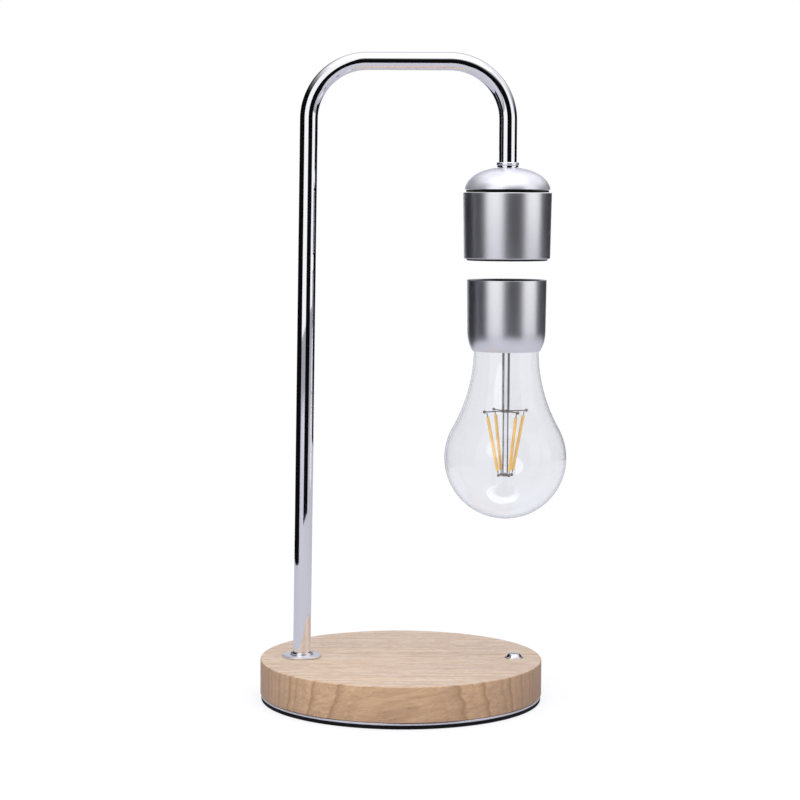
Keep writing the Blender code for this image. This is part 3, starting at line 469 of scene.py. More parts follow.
def make_ash_wood():
    material, tree, shader, place = new_material("ash_wood", rgb(228, 208, 190), 0.5, Specular_IOR_Level=0.35)
    grain = add_group(tree, make_wood_grain(), Vector=place, Ring_Width=0.0041, Waviness=0.008)
    normal = axes_of(tree, tree.nodes.new("ShaderNodeNewGeometry").outputs["Normal"])
    facing_up = remap(tree, maths(tree, "ABSOLUTE", normal["Z"]), 0.35, 0.95, 0.0, 1.0)
    end_grain = remap(tree, maths(tree, "ABSOLUTE", normal["X"]), 0.6, 1.0, 0.0, 1.0)
    tone = remap(tree, grain["Tone"], 0.3, 0.7, 0.0, 1.0)
    top = colour_mix(tree, tone, rgb(236, 215, 192), rgb(228, 210, 198))
    side = colour_mix(tree, tone, rgb(236, 199, 158), rgb(226, 187, 150))
    side = colour_mix(tree, maths(tree, "MULTIPLY", end_grain, 0.8), side, rgb(184, 154, 134))
    clean = colour_mix(tree, facing_up, side, top)
    on_side = maths(tree, "SUBTRACT", 1.0, facing_up)
    shade = maths(tree, "MULTIPLY", maths(tree, "MULTIPLY", grain["Soft Rings"], on_side), 0.5)
    shaded = colour_mix(tree, shade, clean, rgb(180, 138, 102))
    streak_strength = maths(tree, "ADD", 1.0, maths(tree, "MULTIPLY", on_side, 0.5))
    streak_amount = maths(tree, "MULTIPLY", remap(tree, grain["Streaks"], 0.42, 0.66, 0.0, 0.48), streak_strength)
    streaked = colour_mix(tree, streak_amount, shaded, rgb(196, 160, 130))
    ring_amount = remap(tree, facing_up, 0.0, 1.0, 0.55, 0.60)
    ringed = colour_mix(tree, maths(tree, "MULTIPLY", grain["Rings"], ring_amount), streaked, rgb(158, 120, 90))
    fibre_amount = remap(tree, grain["Fibres"], 0.42, 0.66, 0.0, 0.38)
    fibred = colour_mix(tree, fibre_amount, ringed, rgb(182, 146, 116))
    pored = colour_mix(tree, maths(tree, "MULTIPLY", grain["Pores"], 0.5), fibred, rgb(124, 92, 68))
    tree.links.new(pored, shader.inputs["Base Color"])
    rough = remap(tree, grain["Fibres"], 0.3, 0.7, 0.42, 0.6)
    tree.links.new(rough, shader.inputs["Roughness"])
    fibre_depth = maths(tree, "MULTIPLY", grain["Fibres"], 0.4)
    pore_depth = maths(tree, "MULTIPLY", grain["Pores"], -1.0)
    add_bump(tree, shader, maths(tree, "ADD", fibre_depth, pore_depth), 0.00004, 0.6)
    return material


ash_wood = make_ash_wood()
print("wood grain group:", [s.name for s in bpy.data.node_groups["wood_grain"].interface.items_tree])

# %% [markdown]
# ## Plain finishes
# The other surfaces are everyday ones: a bright turned steel edge, nickel on the screws and nuts, matt rubber
# under the base, black and white mouldings, and the pale coat on the capacitor's can. They share the fine wear,
# with amounts that suit how hard and how glossy each one is.

# %% Plain finishes
plain_finishes = {
    "steel": (rgb(236, 238, 246), 0.25, 1.0, 0.08, 0.25, 0.05),
    "nickel": (rgb(205, 200, 190), 0.20, 1.0, 0.06, 0.20, 0.05),
    "rubber": (rgb(11, 11, 13), 0.62, 0.0, 0.15, 0.05, 0.35),
    "black_plastic": (rgb(22, 22, 25), 0.38, 0.0, 0.10, 0.12, 0.20),
    "white_plastic": (rgb(226, 224, 216), 0.42, 0.0, 0.08, 0.08, 0.05),
    "cable_sheath": (rgb(30, 30, 32), 0.50, 0.0, 0.12, 0.05, 0.15),
    "ferrite": (rgb(62, 62, 66), 0.70, 0.0, 0.15, 0.10, 0.10),
    "capacitor_can": (rgb(190, 192, 200), 0.30, 1.0, 0.06, 0.15, 0.05),
}
finishes = {
    name: worn_material(name, colour, rough, metallic, uneven, scratches, dust)[0]
    for name, (colour, rough, metallic, uneven, scratches, dust) in plain_finishes.items()
}
finishes["rubber"].node_tree.nodes["Principled BSDF"].inputs["Specular IOR Level"].default_value = 0.2
finishes["chrome"] = chrome
finishes["satin_metal"] = satin_metal
finishes["wood"] = ash_wood
print("finishes so far:", len(finishes))

# %% [markdown]
# ## Windings and circuit boards
# The coils are enamelled copper wire. Modelling two hundred turns would be wasted inside a closed head, but a
# flat copper ring would look wrong when the head is taken apart, so a wave texture draws the turns as ridges,
# with painted shade in the grooves between them.
# The boards are green solder mask with faint tracks under it.

# %% Windings and boards


def make_copper_winding():
    material, tree, shader, place, _ = worn_material(
        "copper_winding", rgb(200, 120, 66), 0.3, metallic=1.0, uneven=0.05, scratches=0.0, dust=0.02
    )
    bands = {"wave_type": "BANDS", "bands_direction": "Z"}
    turns = add_node(tree, "ShaderNodeTexWave", bands, Vector=place, Scale=640.0, Distortion=0.4).outputs["Fac"]
    # Painted shade: the colour darkens into the grooves between the turns.
    colour = colour_mix(tree, turns, rgb(120, 56, 24), rgb(214, 132, 74))
    tree.links.new(colour, shader.inputs["Base Color"])
    add_bump(tree, shader, turns, 0.0001)
    return material


def make_board_green():
    material, tree, shader, place, _ = worn_material(
        "board_green", rgb(28, 104, 58), 0.32, uneven=0.06, scratches=0.05, dust=0.05, Coat_Weight=0.4
    )
    cells = add_node(tree, "ShaderNodeTexVoronoi", {"feature": "DISTANCE_TO_EDGE"}, Vector=place, Scale=260.0)
    track = remap(tree, cells.outputs["Distance"], 0.05, 0.09, 1.0, 0.0)
    tree.links.new(colour_mix(tree, track, rgb(20, 92, 48), rgb(52, 132, 78)), shader.inputs["Base Color"])
    add_bump(tree, shader, track, 0.00002)
    return material


finishes["copper"] = make_copper_winding()
finishes["board_green"] = make_board_green()

# %% [markdown]
# ## Glass and filaments
# The envelope is thin clear glass, modelled with its real wall. Its dark, slightly blue rims are painted shade:
# Layer Weight mixes a darker colour in where the surface turns away from the eye, whatever the room behind looks
# like. The stem is a solid rod of the same glass, with a broader and nearly black painted rim. A filament is a strip
# of tiny lamps under an amber coat, which stays yellow when it is switched off.

# %% Glass and filaments


def make_clear_glass(name, colour, painted_rim_colour, edge_start, edge_full):
    material, tree, shader, _ = new_material(name, colour, 0.0, Transmission_Weight=1.0, IOR=1.47)
    # Painted rim shade: a darker colour is mixed in where the surface turns away from the eye, in place of the dark
    # rims that refraction gives.
    turned_away = tree.nodes.new("ShaderNodeLayerWeight").outputs["Facing"]
    edge = remap(tree, turned_away, edge_start, edge_full, 0.0, 1.0)
    tree.links.new(colour_mix(tree, edge, colour, painted_rim_colour), shader.inputs["Base Color"])
    return material


def make_filament_amber():
    material, tree, shader, place = new_material(
        "filament_amber", rgb(255, 204, 110), 0.5, Subsurface_Weight=0.3, Subsurface_Scale=0.0006
    )
    grain = noise(tree, place, 2400.0, 2.0, 0.6)
    tone = remap(tree, grain, 0.35, 0.65, 0.0, 1.0)
    colour = colour_mix(tree, tone, rgb(252, 192, 90), rgb(255, 214, 128))
    tree.links.new(colour, shader.inputs["Base Color"])
    add_bump(tree, shader, grain, 0.00004)
    return material


# The envelope gets a thin, bluish painted rim shade, and the stem a broad, nearly black one.
finishes["clear_glass"] = make_clear_glass("clear_glass", rgb(243, 244, 247), rgb(96, 114, 130), 0.74, 1.0)
finishes["stem_glass"] = make_clear_glass("stem_glass", rgb(246, 246, 250), rgb(26, 22, 26), 0.09, 0.24)
finishes["carrier_wire"] = worn_material("carrier_wire", rgb(128, 118, 114), 0.35, 1.0, 0.1, 0.1, 0.0)[0]
finishes["filament_amber"] = make_filament_amber()
print("finishes:", sorted(finishes))

# %% [markdown]
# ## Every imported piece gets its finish
# The record says which finish each piece of the lamp has. All of them get their material here, also the hidden
# ones, so that the lamp looks right when it is opened. Pieces that show a curve are replaced further down.

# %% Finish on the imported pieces
slot_of = {part["node"]: part["material_slot"] for part in frame["record"]["subparts"]}
for node, obj in frame["nodes"].items():
    obj.data.materials.clear()
    obj.data.materials.append(finishes[slot_of[node]])
print("finished nodes:", len(slot_of))

# %% [markdown]
# ## Turning on the lathe
# Almost every visible part of this lamp is round about an upright axis, so it is made as on a lathe: half a
# section, spun round Z by a Screw modifier. The section runs down the outer side, so that the faces point out.
# The spin has many steps, because a mirror finish shows every facet.

# %% Lathe helpers
lathe_steps = 192
merge_distance = 0.00001


def linked(name, data):
    """A new object in the scene."""
    obj = bpy.data.objects.new(name, data)
    bpy.context.scene.collection.objects.link(obj)
    return obj


def mesh_from(work, name):
    """The mesh of a finished bmesh."""
    mesh = bpy.data.meshes.new(name)
    work.to_mesh(mesh)
    work.free()
    return mesh


def evaluated(obj):
    """The mesh that the modifiers or the curve make, with the source object removed."""
    bpy.context.view_layer.update()
    graph = bpy.context.evaluated_depsgraph_get()
    mesh = bpy.data.meshes.new_from_object(obj.evaluated_get(graph))
    mesh.transform(obj.matrix_world)
    bpy.data.objects.remove(obj, do_unlink=True)
    return mesh


def turned(section, ring=False, steps=lathe_steps):
    """Spins (radius, height) points round Z. A ring's section closes on itself, and other sections end on the axis."""
    mesh = bpy.data.meshes.new("section")
    edges = [(i, i + 1) for i in range(len(section) - 1)]
    if ring:
        edges.append((len(section) - 1, 0))
    mesh.from_pydata([(radius, 0, height) for radius, height in section], edges, [])
    obj = linked("section", mesh)
    screw = obj.modifiers.new("Spin", "SCREW")
    screw.steps = steps
    screw.render_steps = steps
    screw.use_merge_vertices = True
    screw.merge_threshold = merge_distance
    return evaluated(obj)


def arc(centre_radius, centre_height, radius, start_degrees, end_degrees, count):
    """Points of a rounded edge in the section. 0 degrees points outwards and 90 degrees upwards."""
    points = []
    for i in range(count + 1):
        angle = math.radians(start_degrees + (end_degrees - start_degrees) * i / count)
        points.append((centre_radius + radius * math.cos(angle), centre_height + radius * math.sin(angle)))
    return points


def rounded_rim(radius, low, high, ease, count=3):
    """The outer side of a disc with both its edges rounded."""
    upper = arc(radius - ease, high - ease, ease, 90, 0, count)
    return upper + arc(radius - ease, low + ease, ease, 0, -90, count)


def add_piece(name, mesh, finish, nodes, x=0.0, sharp_degrees=32):
    """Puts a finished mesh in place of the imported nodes, on the body that they ride on."""
    mesh.shade_smooth()
    mesh.set_sharp_from_angle(angle=math.radians(sharp_degrees))
    mesh.materials.clear()
    mesh.materials.append(finishes[finish])
    obj = linked(name, mesh)
    obj.location.x = x
    bpy.context.view_layer.update()
    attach(obj, frame["nodes"][nodes[0]]["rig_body"])
    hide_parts(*nodes)
    return obj


def cut(mesh, cutter_mesh):
    """The first mesh with the second taken out of it."""
    body, tool = linked("blank", mesh), linked("tool", cutter_mesh)
    boolean = body.modifiers.new("Cut", "BOOLEAN")
    boolean.operation = "DIFFERENCE"
    boolean.object = tool
    boolean.solver = "EXACT"
    result = evaluated(body)
    bpy.data.objects.remove(tool, do_unlink=True)
    return result


def rod(radius, low, high, x=0.0, y=0.0, steps=64):
    """A plain upright cylinder, used as a drill."""
    mesh = turned([(0, high), (radius, high), (radius, low), (0, low)], steps=steps)
    mesh.transform(Matrix.Translation((x, y, 0)) @ Matrix.Rotation(math.pi / steps, 4, "Z"))
    return mesh


print("lathe ready with", lathe_steps, "steps")

# %% [markdown]
# ## Wooden base
# The disc is turned with a small eased edge at the top, drilled for the post, the button, three screws and the
# power inlet at the back, and hollowed underneath for the electronics.

# %% Wooden base
hair_gap = 0.0003
top_ease = 0.0009
foot_ease = 0.0004
pocket_wall = 0.009
pocket_depth = 0.0125
pocket_radius = base_radius - pocket_wall
pocket_top = wood_low + pocket_depth
pilot_radius = 0.0014
inlet_recess_radius = 0.0055
inlet_wall = 0.003
inlet_thread_radius = 0.0038
drill_overrun = 0.002


def make_wood_disc():
    section = [
        (0, wood_top),
        *arc(base_radius - top_ease, wood_top - top_ease, top_ease, 90, 0, 4),
        *arc(base_radius - foot_ease, wood_low + foot_ease, foot_ease, 0, -90, 3),
        (pocket_radius, wood_low),
        (pocket_radius, pocket_top),
        (0, pocket_top),
    ]
    mesh = turned(section)
    below_roof = pocket_top - drill_overrun
    above_top = wood_top + drill_overrun
    tube_hole = radius_of("arm_tube") + hair_gap
    button_hole = radius_of("button_bushing") + hair_gap
    mesh = cut(mesh, rod(tube_hole, below_roof, above_top, post_x))
    mesh = cut(mesh, rod(button_hole, below_roof, above_top, button_x))
    for number in (1, 2, 3):
        screw = centre_of(f"base_screw_{number}")
        screw_top = height_range(f"base_screw_{number}")[1]
        pilot = rod(pilot_radius + hair_gap, wood_low - drill_overrun, screw_top + hair_gap, screw.x, screw.y)
        mesh = cut(mesh, pilot)
    jack = centre_of("dc_jack")
    to_back = Matrix.Translation((jack.x, 0, jack.z)) @ Matrix.Rotation(-math.pi / 2, 4, "X")
    recess = rod(inlet_recess_radius, pocket_radius + inlet_wall, base_radius + drill_overrun)
    recess.transform(to_back)
    barrel = rod(inlet_thread_radius + hair_gap, pocket_radius - drill_overrun, base_radius + drill_overrun)
    barrel.transform(to_back)
    return cut(cut(mesh, recess), barrel)


wood_disc = add_piece("wood_disc", make_wood_disc(), "wood", ["wood_base"], sharp_degrees=30)
print("wood disc faces:", len(wood_disc.data.polygons))

# %% [markdown]
# ## Foot of the base
# Under the wood sit a steel plate, whose bright rim shows as a thin line all round, and a black rubber pad.
# The pad's underside gets shallow rings, as moulded feet have, so that it grips and doesn't stick to the table.

# %% Steel plate and rubber pad
screw_names = ["base_screw_1", "base_screw_2", "base_screw_3"]
plate_hole_radius = 0.0017
pad_hole_radius = 0.0027
groove_radii = (0.0735, 0.0705, 0.0675)
groove_width = 0.0015
groove_slope = 0.0003


def drilled_for_screws(mesh, radius, low, high):
    for name in screw_names:
        screw = centre_of(name)
        mesh = cut(mesh, rod(radius, low - drill_overrun, high + drill_overrun, screw.x, screw.y))
    return mesh


def make_plate():
    low, high = height_range("weight_plate")
    rim, ease = radius_of("weight_plate"), 0.0002
    section = [(0, high), *rounded_rim(rim, low, high, ease), (0, low)]
    return drilled_for_screws(turned(section), plate_hole_radius, low, high)


def make_pad():
    low, high = height_range("rubber_pad")
    rim, ease, bevel, groove = radius_of("rubber_pad"), 0.0005, 0.0002, 0.0004
    section = [(0, high), (rim - bevel, high), (rim, high - bevel), *arc(rim - ease, low + ease, ease, 0, -90, 4)]
    for outer in groove_radii:
        inner = outer - groove_width
        floor = low + groove
        section += [(outer, low), (outer - groove_slope, floor), (inner + groove_slope, floor), (inner, low)]
    section.append((0, low))
    return drilled_for_screws(turned(section), pad_hole_radius, low, high)


add_piece("steel_plate", make_plate(), "steel", ["weight_plate"])
add_piece("grip_pad", make_pad(), "rubber", ["rubber_pad"])
print("foot from", height_range("rubber_pad")[0], "to", round(height_range("weight_plate")[1], 4))

# %% [markdown]
# ## Post flange
# A low chrome ring covers the hole where the tube enters the wood. Its edge is rounded and a small collar
# hugs the tube. A ring's section closes on itself, so the hole comes with the turning. The collar is a mirror,
# and the flat plate round it has the softer finish, so that it stays pale from every side.

# %% Post flange
tube_radius = radius_of("arm_tube")
tube_hole = tube_radius + hair_gap
collar_radius = 0.00635
flange_thickness = 0.0011
border = 0.0002


def make_post_flange():
    low, high = height_range("post_flange")
    rim = radius_of("post_flange")
    shoulder, ease, cap_ease = low + flange_thickness, 0.0004, 0.0006
    section = [
        *arc(collar_radius - cap_ease, high - cap_ease, cap_ease, 90, 0, 5),
        *arc(collar_radius + ease, shoulder + ease, -ease, 0, 90, 4),
        *arc(rim - ease, shoulder - ease, ease, 90, 0, 5),
        (rim, low),
        (tube_hole, low),
        (tube_hole, high),
    ]
    return turned(section, ring=True, steps=128)


flange = add_piece("chrome_flange", make_post_flange(), "chrome", ["post_flange"], post_x)
flange.data.materials.append(pearl_chrome)
for face in flange.data.polygons:
    if math.hypot(face.center.x, face.center.y) > collar_radius + border:
        face.material_index = 1
print("flange faces with the softer finish:", sum(face.material_index for face in flange.data.polygons))

# %% [markdown]
# ## The bent arm
# One steel tube makes the whole arm: up from the base, two quarter bends, and down into the head. A curve with
# a round bevel would do, but a polished tube also needs a wall and an open end, so the tube is swept here: a
# circle is carried along the centreline once for the outside and once, going back, for the bore.

# %% Arm tube
bend_radius = 0.0325
post_lean = 0.0037
tube_wall = 0.001
bend_steps = 64
tube_sides = 96


def arm_centreline(low, head_end):
    """Points up the leaning post, round both bends and down to the head, all in the plane of the lamp."""
    lean_start = height_range("post_flange")[1]
    bend_z = arm_top - tube_radius - bend_radius
    first, second = post_x + post_lean + bend_radius, bulb_x - bend_radius
    route = [(post_x, low), (post_x, lean_start)]
    for i in range(bend_steps + 1):
        angle = math.pi * (1 - 0.5 * i / bend_steps)
        route.append((first + bend_radius * math.cos(angle), bend_z + bend_radius * math.sin(angle)))
    for i in range(bend_steps + 1):
        angle = math.pi * 0.5 * (1 - i / bend_steps)
        route.append((second + bend_radius * math.cos(angle), bend_z + bend_radius * math.sin(angle)))
    route.append((bulb_x, head_end))
    return route


def swept_tube(route, outer, inner, sides):
    """A tube with a wall along points of the XZ plane."""
    work = bmesh.new()
    places = [Vector((x, 0, z)) for x, z in route]

    def rings(radius):
        made = []
        for i, place in enumerate(places):
            before, after = places[max(i - 1, 0)], places[min(i + 1, len(places) - 1)]
            along = (after - before).normalized()
            across = Vector((along.z, 0, -along.x))
            made.append(
                [
                    work.verts.new(
                        place
                        + across * radius * math.cos(2 * math.pi * k / sides)
                        + Vector((0, radius * math.sin(2 * math.pi * k / sides), 0))
                    )
                    for k in range(sides)
                ]
            )
        return made

    outside, inside = rings(outer), rings(inner)
    loops = outside + inside[::-1] + [outside[0]]
    for first, second in zip(loops, loops[1:]):
        for k in range(sides):
            work.faces.new((first[k], first[(k + 1) % sides], second[(k + 1) % sides], second[k]))
    bmesh.ops.recalc_face_normals(work, faces=work.faces)
    return mesh_from(work, "tube")


tube_low = box_of("arm_tube")[0].z
tube_end = 0.2948
arm_mesh = swept_tube(arm_centreline(tube_low, tube_end), tube_radius, tube_radius - tube_wall, tube_sides)
add_piece("chrome_arm", arm_mesh, "chrome", ["arm_tube"])
print("arm faces:", len(arm_mesh.polygons))

# %% [markdown]
# ## Lamp head
# From the top: a collar bead, a shallow chrome dome, a thin dark seam, a satin sleeve that widens very slightly
# upwards, and a black cover inside its lower end. The dome's section is a little fuller than an ellipse, so it
# comes out of a superellipse, whose power sets how square its shoulder is.

# %% Head collar and dome
dome_fullness = 2.2
dome_half_height = 0.0144
dome_wall = 0.001
dome_centre_drop = 0.002
crown_radius = 0.0062


def dome_section(half_width, half_height, centre, foot, count):
    """The curve from the crown down to the foot."""
    start = math.acos((crown_radius / half_width) ** (dome_fullness / 2))
    end = math.asin(((foot - centre) / half_height) ** (dome_fullness / 2))
    points = []
    for i in range(count + 1):
        angle = start + (end - start) * i / count
        radius = half_width * math.cos(angle) ** (2 / dome_fullness)
        points.append((radius, centre + half_height * math.sin(angle) ** (2 / dome_fullness)))
    return points


def make_dome():
    foot = height_range("head_dome")[0]
    foot_radius = radius_of("head_dome")
    centre = foot - dome_centre_drop
    shrink = (1 - ((foot - centre) / dome_half_height) ** dome_fullness) ** (1 / dome_fullness)
    half_width = foot_radius / shrink
    outside = dome_section(half_width, dome_half_height, centre, foot, 48)
    inside = dome_section(half_width - dome_wall, dome_half_height - dome_wall, centre, foot, 24)
    crown = outside[0][1]
    section = [(tube_hole, crown), *outside, *reversed(inside), (tube_hole, inside[0][1])]
    return turned(section, ring=True)


def make_head_collar():
    low, high = height_range("head_collar")
    rim = radius_of("head_collar")
    half, neck = 0.001, 0.006
    bead = arc(rim - half, high - half, half, 90, -90, 16)
    section = [*bead, (neck, high - 2 * half), (neck, low), (tube_hole, low), (tube_hole, high)]
    return turned(section, ring=True, steps=128)


dome = add_piece("chrome_dome", make_dome(), "chrome", ["head_dome"], bulb_x)
dome.data.materials[0] = pearl_chrome
add_piece("chrome_collar", make_head_collar(), "chrome", ["head_collar"], bulb_x)
print("dome from", round(height_range("head_dome")[0], 4), "to", round(height_range("head_dome")[1], 4))

# %% [markdown]
# ## Seam, sleeve and bottom cover
# The seam is a recessed rubber ring. The sleeve is a thin-walled tube with rounded ends, and the cover is a
# moulded disc that stands back a little inside it, with a shallow step round its edge.

# %% Seam, sleeve and cover
sleeve_foot_radius = 0.0242
sleeve_bore = 0.023
seam_width = 0.0025


def make_seam_ring():
    low, high = height_range("seam_ring")
    outer = radius_of("seam_ring")
    inner, ease = outer - seam_width, 0.00015
    return turned([*rounded_rim(outer, low, high, ease), (inner, low), (inner, high)], ring=True)


def make_head_sleeve():
    low, high = height_range("head_sleeve")
    top, ease, lip = radius_of("head_sleeve"), 0.0006, 0.00025
    section = [
        *arc(top - ease, high - ease, ease, 90, 0, 6),
        *arc(sleeve_foot_radius - ease, low + ease, ease, 0, -90, 6),
        (sleeve_bore + lip, low),
        (sleeve_bore, low + lip),
        (sleeve_bore, high),
    ]
    return turned(section, ring=True)


def make_bottom_cover():
    low, high = height_range("head_bottom_cover")
    rim, ease, step = radius_of("head_bottom_cover"), 0.0004, 0.0003
    section = [
        (0, high),
        (rim, high),
        *arc(rim - ease, low + ease, ease, 0, -90, 4),
        (rim - 0.0022, low),
        (rim - 0.0025, low + step),
        (0, low + step),
    ]
    return turned(section)


add_piece("seam_band", make_seam_ring(), "rubber", ["seam_ring"], bulb_x)
add_piece("satin_sleeve", make_head_sleeve(), "satin_metal", ["head_sleeve"], bulb_x)
add_piece("moulded_cover", make_bottom_cover(), "black_plastic", ["head_bottom_cover"], bulb_x)
print(f"sleeve {2000 * radius_of('head_sleeve'):.1f} mm across at the top")

# %% [markdown]
# ## Cup of the bulb
# The cup holds the glass and the levitation magnet. Its wall goes straight down and then curls in under itself
# along a quarter ellipse to the mouth where the glass comes out. A black disc sits deep in its top, and the wall
# of that recess is black as well: painted shade.

# %% Bulb cup and cover
cup_low, cup_top = height_range("bulb_cup")
cup_side = 0.022
cup_wall = 0.0012
mouth_radius = 0.01832
mouth_lip = 0.00068
curl_width = 0.0065
curl_height = 0.0115


def cup_curl(side, lip, bottom, count):
    """From the straight side in to the lip, ending at the given height."""
    end = math.acos(1 - (side - lip) / curl_width)
    top = cup_low + curl_height
    points = []
    for i in range(count + 1):
        angle = end * i / count
        height = top + (bottom - top) * math.sin(angle) / math.sin(end)
        points.append((side - curl_width * (1 - math.cos(angle)), height))
    return points


def make_cup():
    rim, ease, inner, lip_ease = radius_of("bulb_cup"), 0.0003, 0.00035, 0.0002
    lip = mouth_radius + mouth_lip
    inside = cup_curl(cup_side - cup_wall, lip, cup_low + cup_wall, 12)
    section = [
        *arc(rim - ease, cup_top - ease, ease, 90, 0, 5),
        *cup_curl(cup_side, lip, cup_low + lip_ease, 28),
        *arc(lip - lip_ease, cup_low + lip_ease, lip_ease, 0, -90, 3),
        (mouth_radius, cup_low),
        (mouth_radius, inside[-1][1]),
        *reversed(inside),
        (cup_side - cup_wall, cup_top - inner),
        (cup_side - cup_wall + inner, cup_top),
    ]
    return turned(section, ring=True)


def make_cup_cover():
    low, high = height_range("cup_cover")
    rim, ease, step = radius_of("cup_cover"), 0.0003, 0.0003
    section = [
        (0, high - step),
        (rim - 0.0020, high - step),
        (rim - 0.0017, high),
        *arc(rim - ease, high - ease, ease, 90, 0, 4),
        (rim, low),
        (0, low),
    ]
    return turned(section)


cup = add_piece("satin_cup", make_cup(), "satin_metal", ["bulb_cup"], bulb_x)
# Painted shade: the inner wall of the top recess, above the curl, takes the black finish, so the recess under the head
# shows dark.
cup.data.materials.append(finishes["black_plastic"])
bore_limit = cup_side - cup_wall + 0.0001
for face in cup.data.polygons:
    in_bore = math.hypot(face.center.x, face.center.y) < bore_limit
    if in_bore and face.center.z > cup_low + curl_height:
        face.material_index = 1
add_piece("cup_disc", make_cup_cover(), "black_plastic", ["cup_cover"], bulb_x)
print(f"cup {2000 * radius_of('bulb_cup'):.1f} mm across at its rim")

# %% [markdown]
# ## Glass envelope
# A bulb is blown into a mould: a sphere below, and a hollow shoulder that runs up into the neck. In the section
# these are two arcs that touch where their slopes agree. The inside follows the same arcs, moved in by the
# thickness of the glass, and the wall is closed at the neck, so light enters and leaves it as in real glass.

# %% Glass envelope
glass_radius = radius_of("glass_envelope")
glass_low, neck_top = height_range("glass_envelope")
neck_radius = 0.0182
glass_wall = 0.0009
shoulder_z = 0.1996
shoulder_steps = 40
bowl_steps = 88


def glass_section(offset):
    rise = shoulder_z - glass_low - glass_radius
    shoulder_radius = (rise**2 + neck_radius**2 - glass_radius**2) / 2 / (glass_radius - neck_radius)
    tangent = math.degrees(math.asin(rise / (glass_radius + shoulder_radius)))
    middle = neck_radius + shoulder_radius
    shoulder = arc(middle, shoulder_z, shoulder_radius + offset, 180, 180 + tangent, shoulder_steps)
    bowl = arc(0, glass_low + glass_radius, glass_radius - offset, tangent, -90, bowl_steps)
    return shoulder + bowl[1:]


def make_envelope():
    outside, inside = glass_section(0), glass_section(glass_wall)
    outside[-1], inside[-1] = (0, glass_low), (0, glass_low + glass_wall)
    section = [*reversed(inside), (neck_radius - glass_wall, neck_top), (neck_radius, neck_top), *outside]
    return turned(section)


envelope = add_piece("clear_envelope", make_envelope(), "clear_glass", ["glass_envelope"], bulb_x, sharp_degrees=60)
envelope.visible_shadow = False
print(f"glass {2000 * glass_radius:.1f} mm across and {1000 * (neck_top - glass_low):.1f} mm tall")

# %% [markdown]
# ## Stem
# The stem is a glass rod that comes down from the flare, where it is melted to the neck. The rod carries the
# filaments. Its flare is a bell shape, so its section is a curve and not a cone.

# %% Glass stem
stem_low, stem_top = height_range("glass_stem")
stem_radius = 0.00165
flare_radius = radius_of("glass_stem")


def make_stem():
    edge, flare_height, tip_ease, steps = 0.0012, 0.012, 0.0005, 24
    points = [(0, stem_top), (flare_radius, stem_top), (flare_radius, stem_top - edge)]
    for i in range(1, steps + 1):
        share = i / steps
        radius = stem_radius + (flare_radius - stem_radius) * (1 - share) ** 3
        points.append((radius, stem_top - edge - flare_height * share))
    points += arc(stem_radius - tip_ease, stem_low + tip_ease, tip_ease, 0, -90, 5)
    points.append((0, stem_low))
    return turned(points, steps=64)


stem = add_piece("clear_stem", make_stem(), "stem_glass", ["glass_stem"], bulb_x, sharp_degrees=50)
stem.visible_shadow = False
print(f"stem from {1000 * stem_low:.1f} to {1000 * stem_top:.1f} mm")

# %% [markdown]
# ## Carriers
# Two small wire crosses hold the four filaments: a wide one near the top of the stem and a narrow one under its
# end, so that the sticks lean in downwards. Their wires end in small beads.

# %% Carriers
carrier_turn = math.radians(26.9)
carrier_wire_radius = 0.00035
bead_radius = 0.0009
hub_half_height = 0.0007
hub_wall = 0.0009
wire_start_share = 0.95
upper_z = centre_of("upper_carrier").z
lower_z = centre_of("lower_carrier").z
upper_reach = 0.0136
lower_reach = 0.0043
filament_top_radius = 0.0122


def spokes():
    for i in range(4):
        angle = carrier_turn + i * math.pi / 2
        yield Vector((math.cos(angle), math.sin(angle), 0))


def place_between(mesh, start, end):
    """Turns a mesh that hangs down from height zero so that it points from start to end."""
    turn = (start - end).normalized().to_track_quat("Z", "Y").to_matrix().to_4x4()
    mesh.transform(Matrix.Translation(start) @ turn)
    return mesh


def joined(meshes):
    work = bmesh.new()
    for mesh in meshes:
        work.from_mesh(mesh)
    return mesh_from(work, "joined")


def make_carrier(height, reach, hub_radius, hole):
    side = [(hub_radius, hub_half_height), (hub_radius, -hub_half_height)]
    if hole:
        hub = turned([*side, (hole, -hub_half_height), (hole, hub_half_height)], ring=True, steps=48)
    else:
        hub = turned([(0, hub_half_height), *side, (0, -hub_half_height)], steps=48)
    hub.transform(Matrix.Translation((0, 0, height)))
    parts = [hub]
    level = Vector((0, 0, height))
    for spoke in spokes():
        length = reach - hub_radius
        wire = turned([(0, 0), (carrier_wire_radius, 0), (carrier_wire_radius, -length), (0, -length)], steps=16)
        parts.append(place_between(wire, level + spoke * hub_radius * wire_start_share, level + spoke * reach))
        bead = turned(arc(0, 0, bead_radius, 90, -90, 12), steps=24)
        bead.transform(Matrix.Translation(level + spoke * reach))
        parts.append(bead)
    return joined(parts)


upper_cross = make_carrier(upper_z, upper_reach, stem_radius + hub_wall, stem_radius + hair_gap)
add_piece("upper_cross", upper_cross, "carrier_wire", ["upper_carrier"], bulb_x)
lower_cross = make_carrier(lower_z, lower_reach, stem_radius, 0)
add_piece("lower_cross", lower_cross, "carrier_wire", ["lower_carrier"], bulb_x)
print(f"carriers at {1000 * upper_z:.1f} and {1000 * lower_z:.1f} mm")

# %% [markdown]
# ## Filaments
# Each filament is a coated stick with a bare metal tab at both ends, hung between the two crosses. The tabs are
# pieces of their own, because they have another finish.

# %% Filaments
stick_radius = 0.0009
tab_radius = 0.0003
top_tab = 0.0022
bottom_tab = 0.0014
tab_clearance = 0.0003


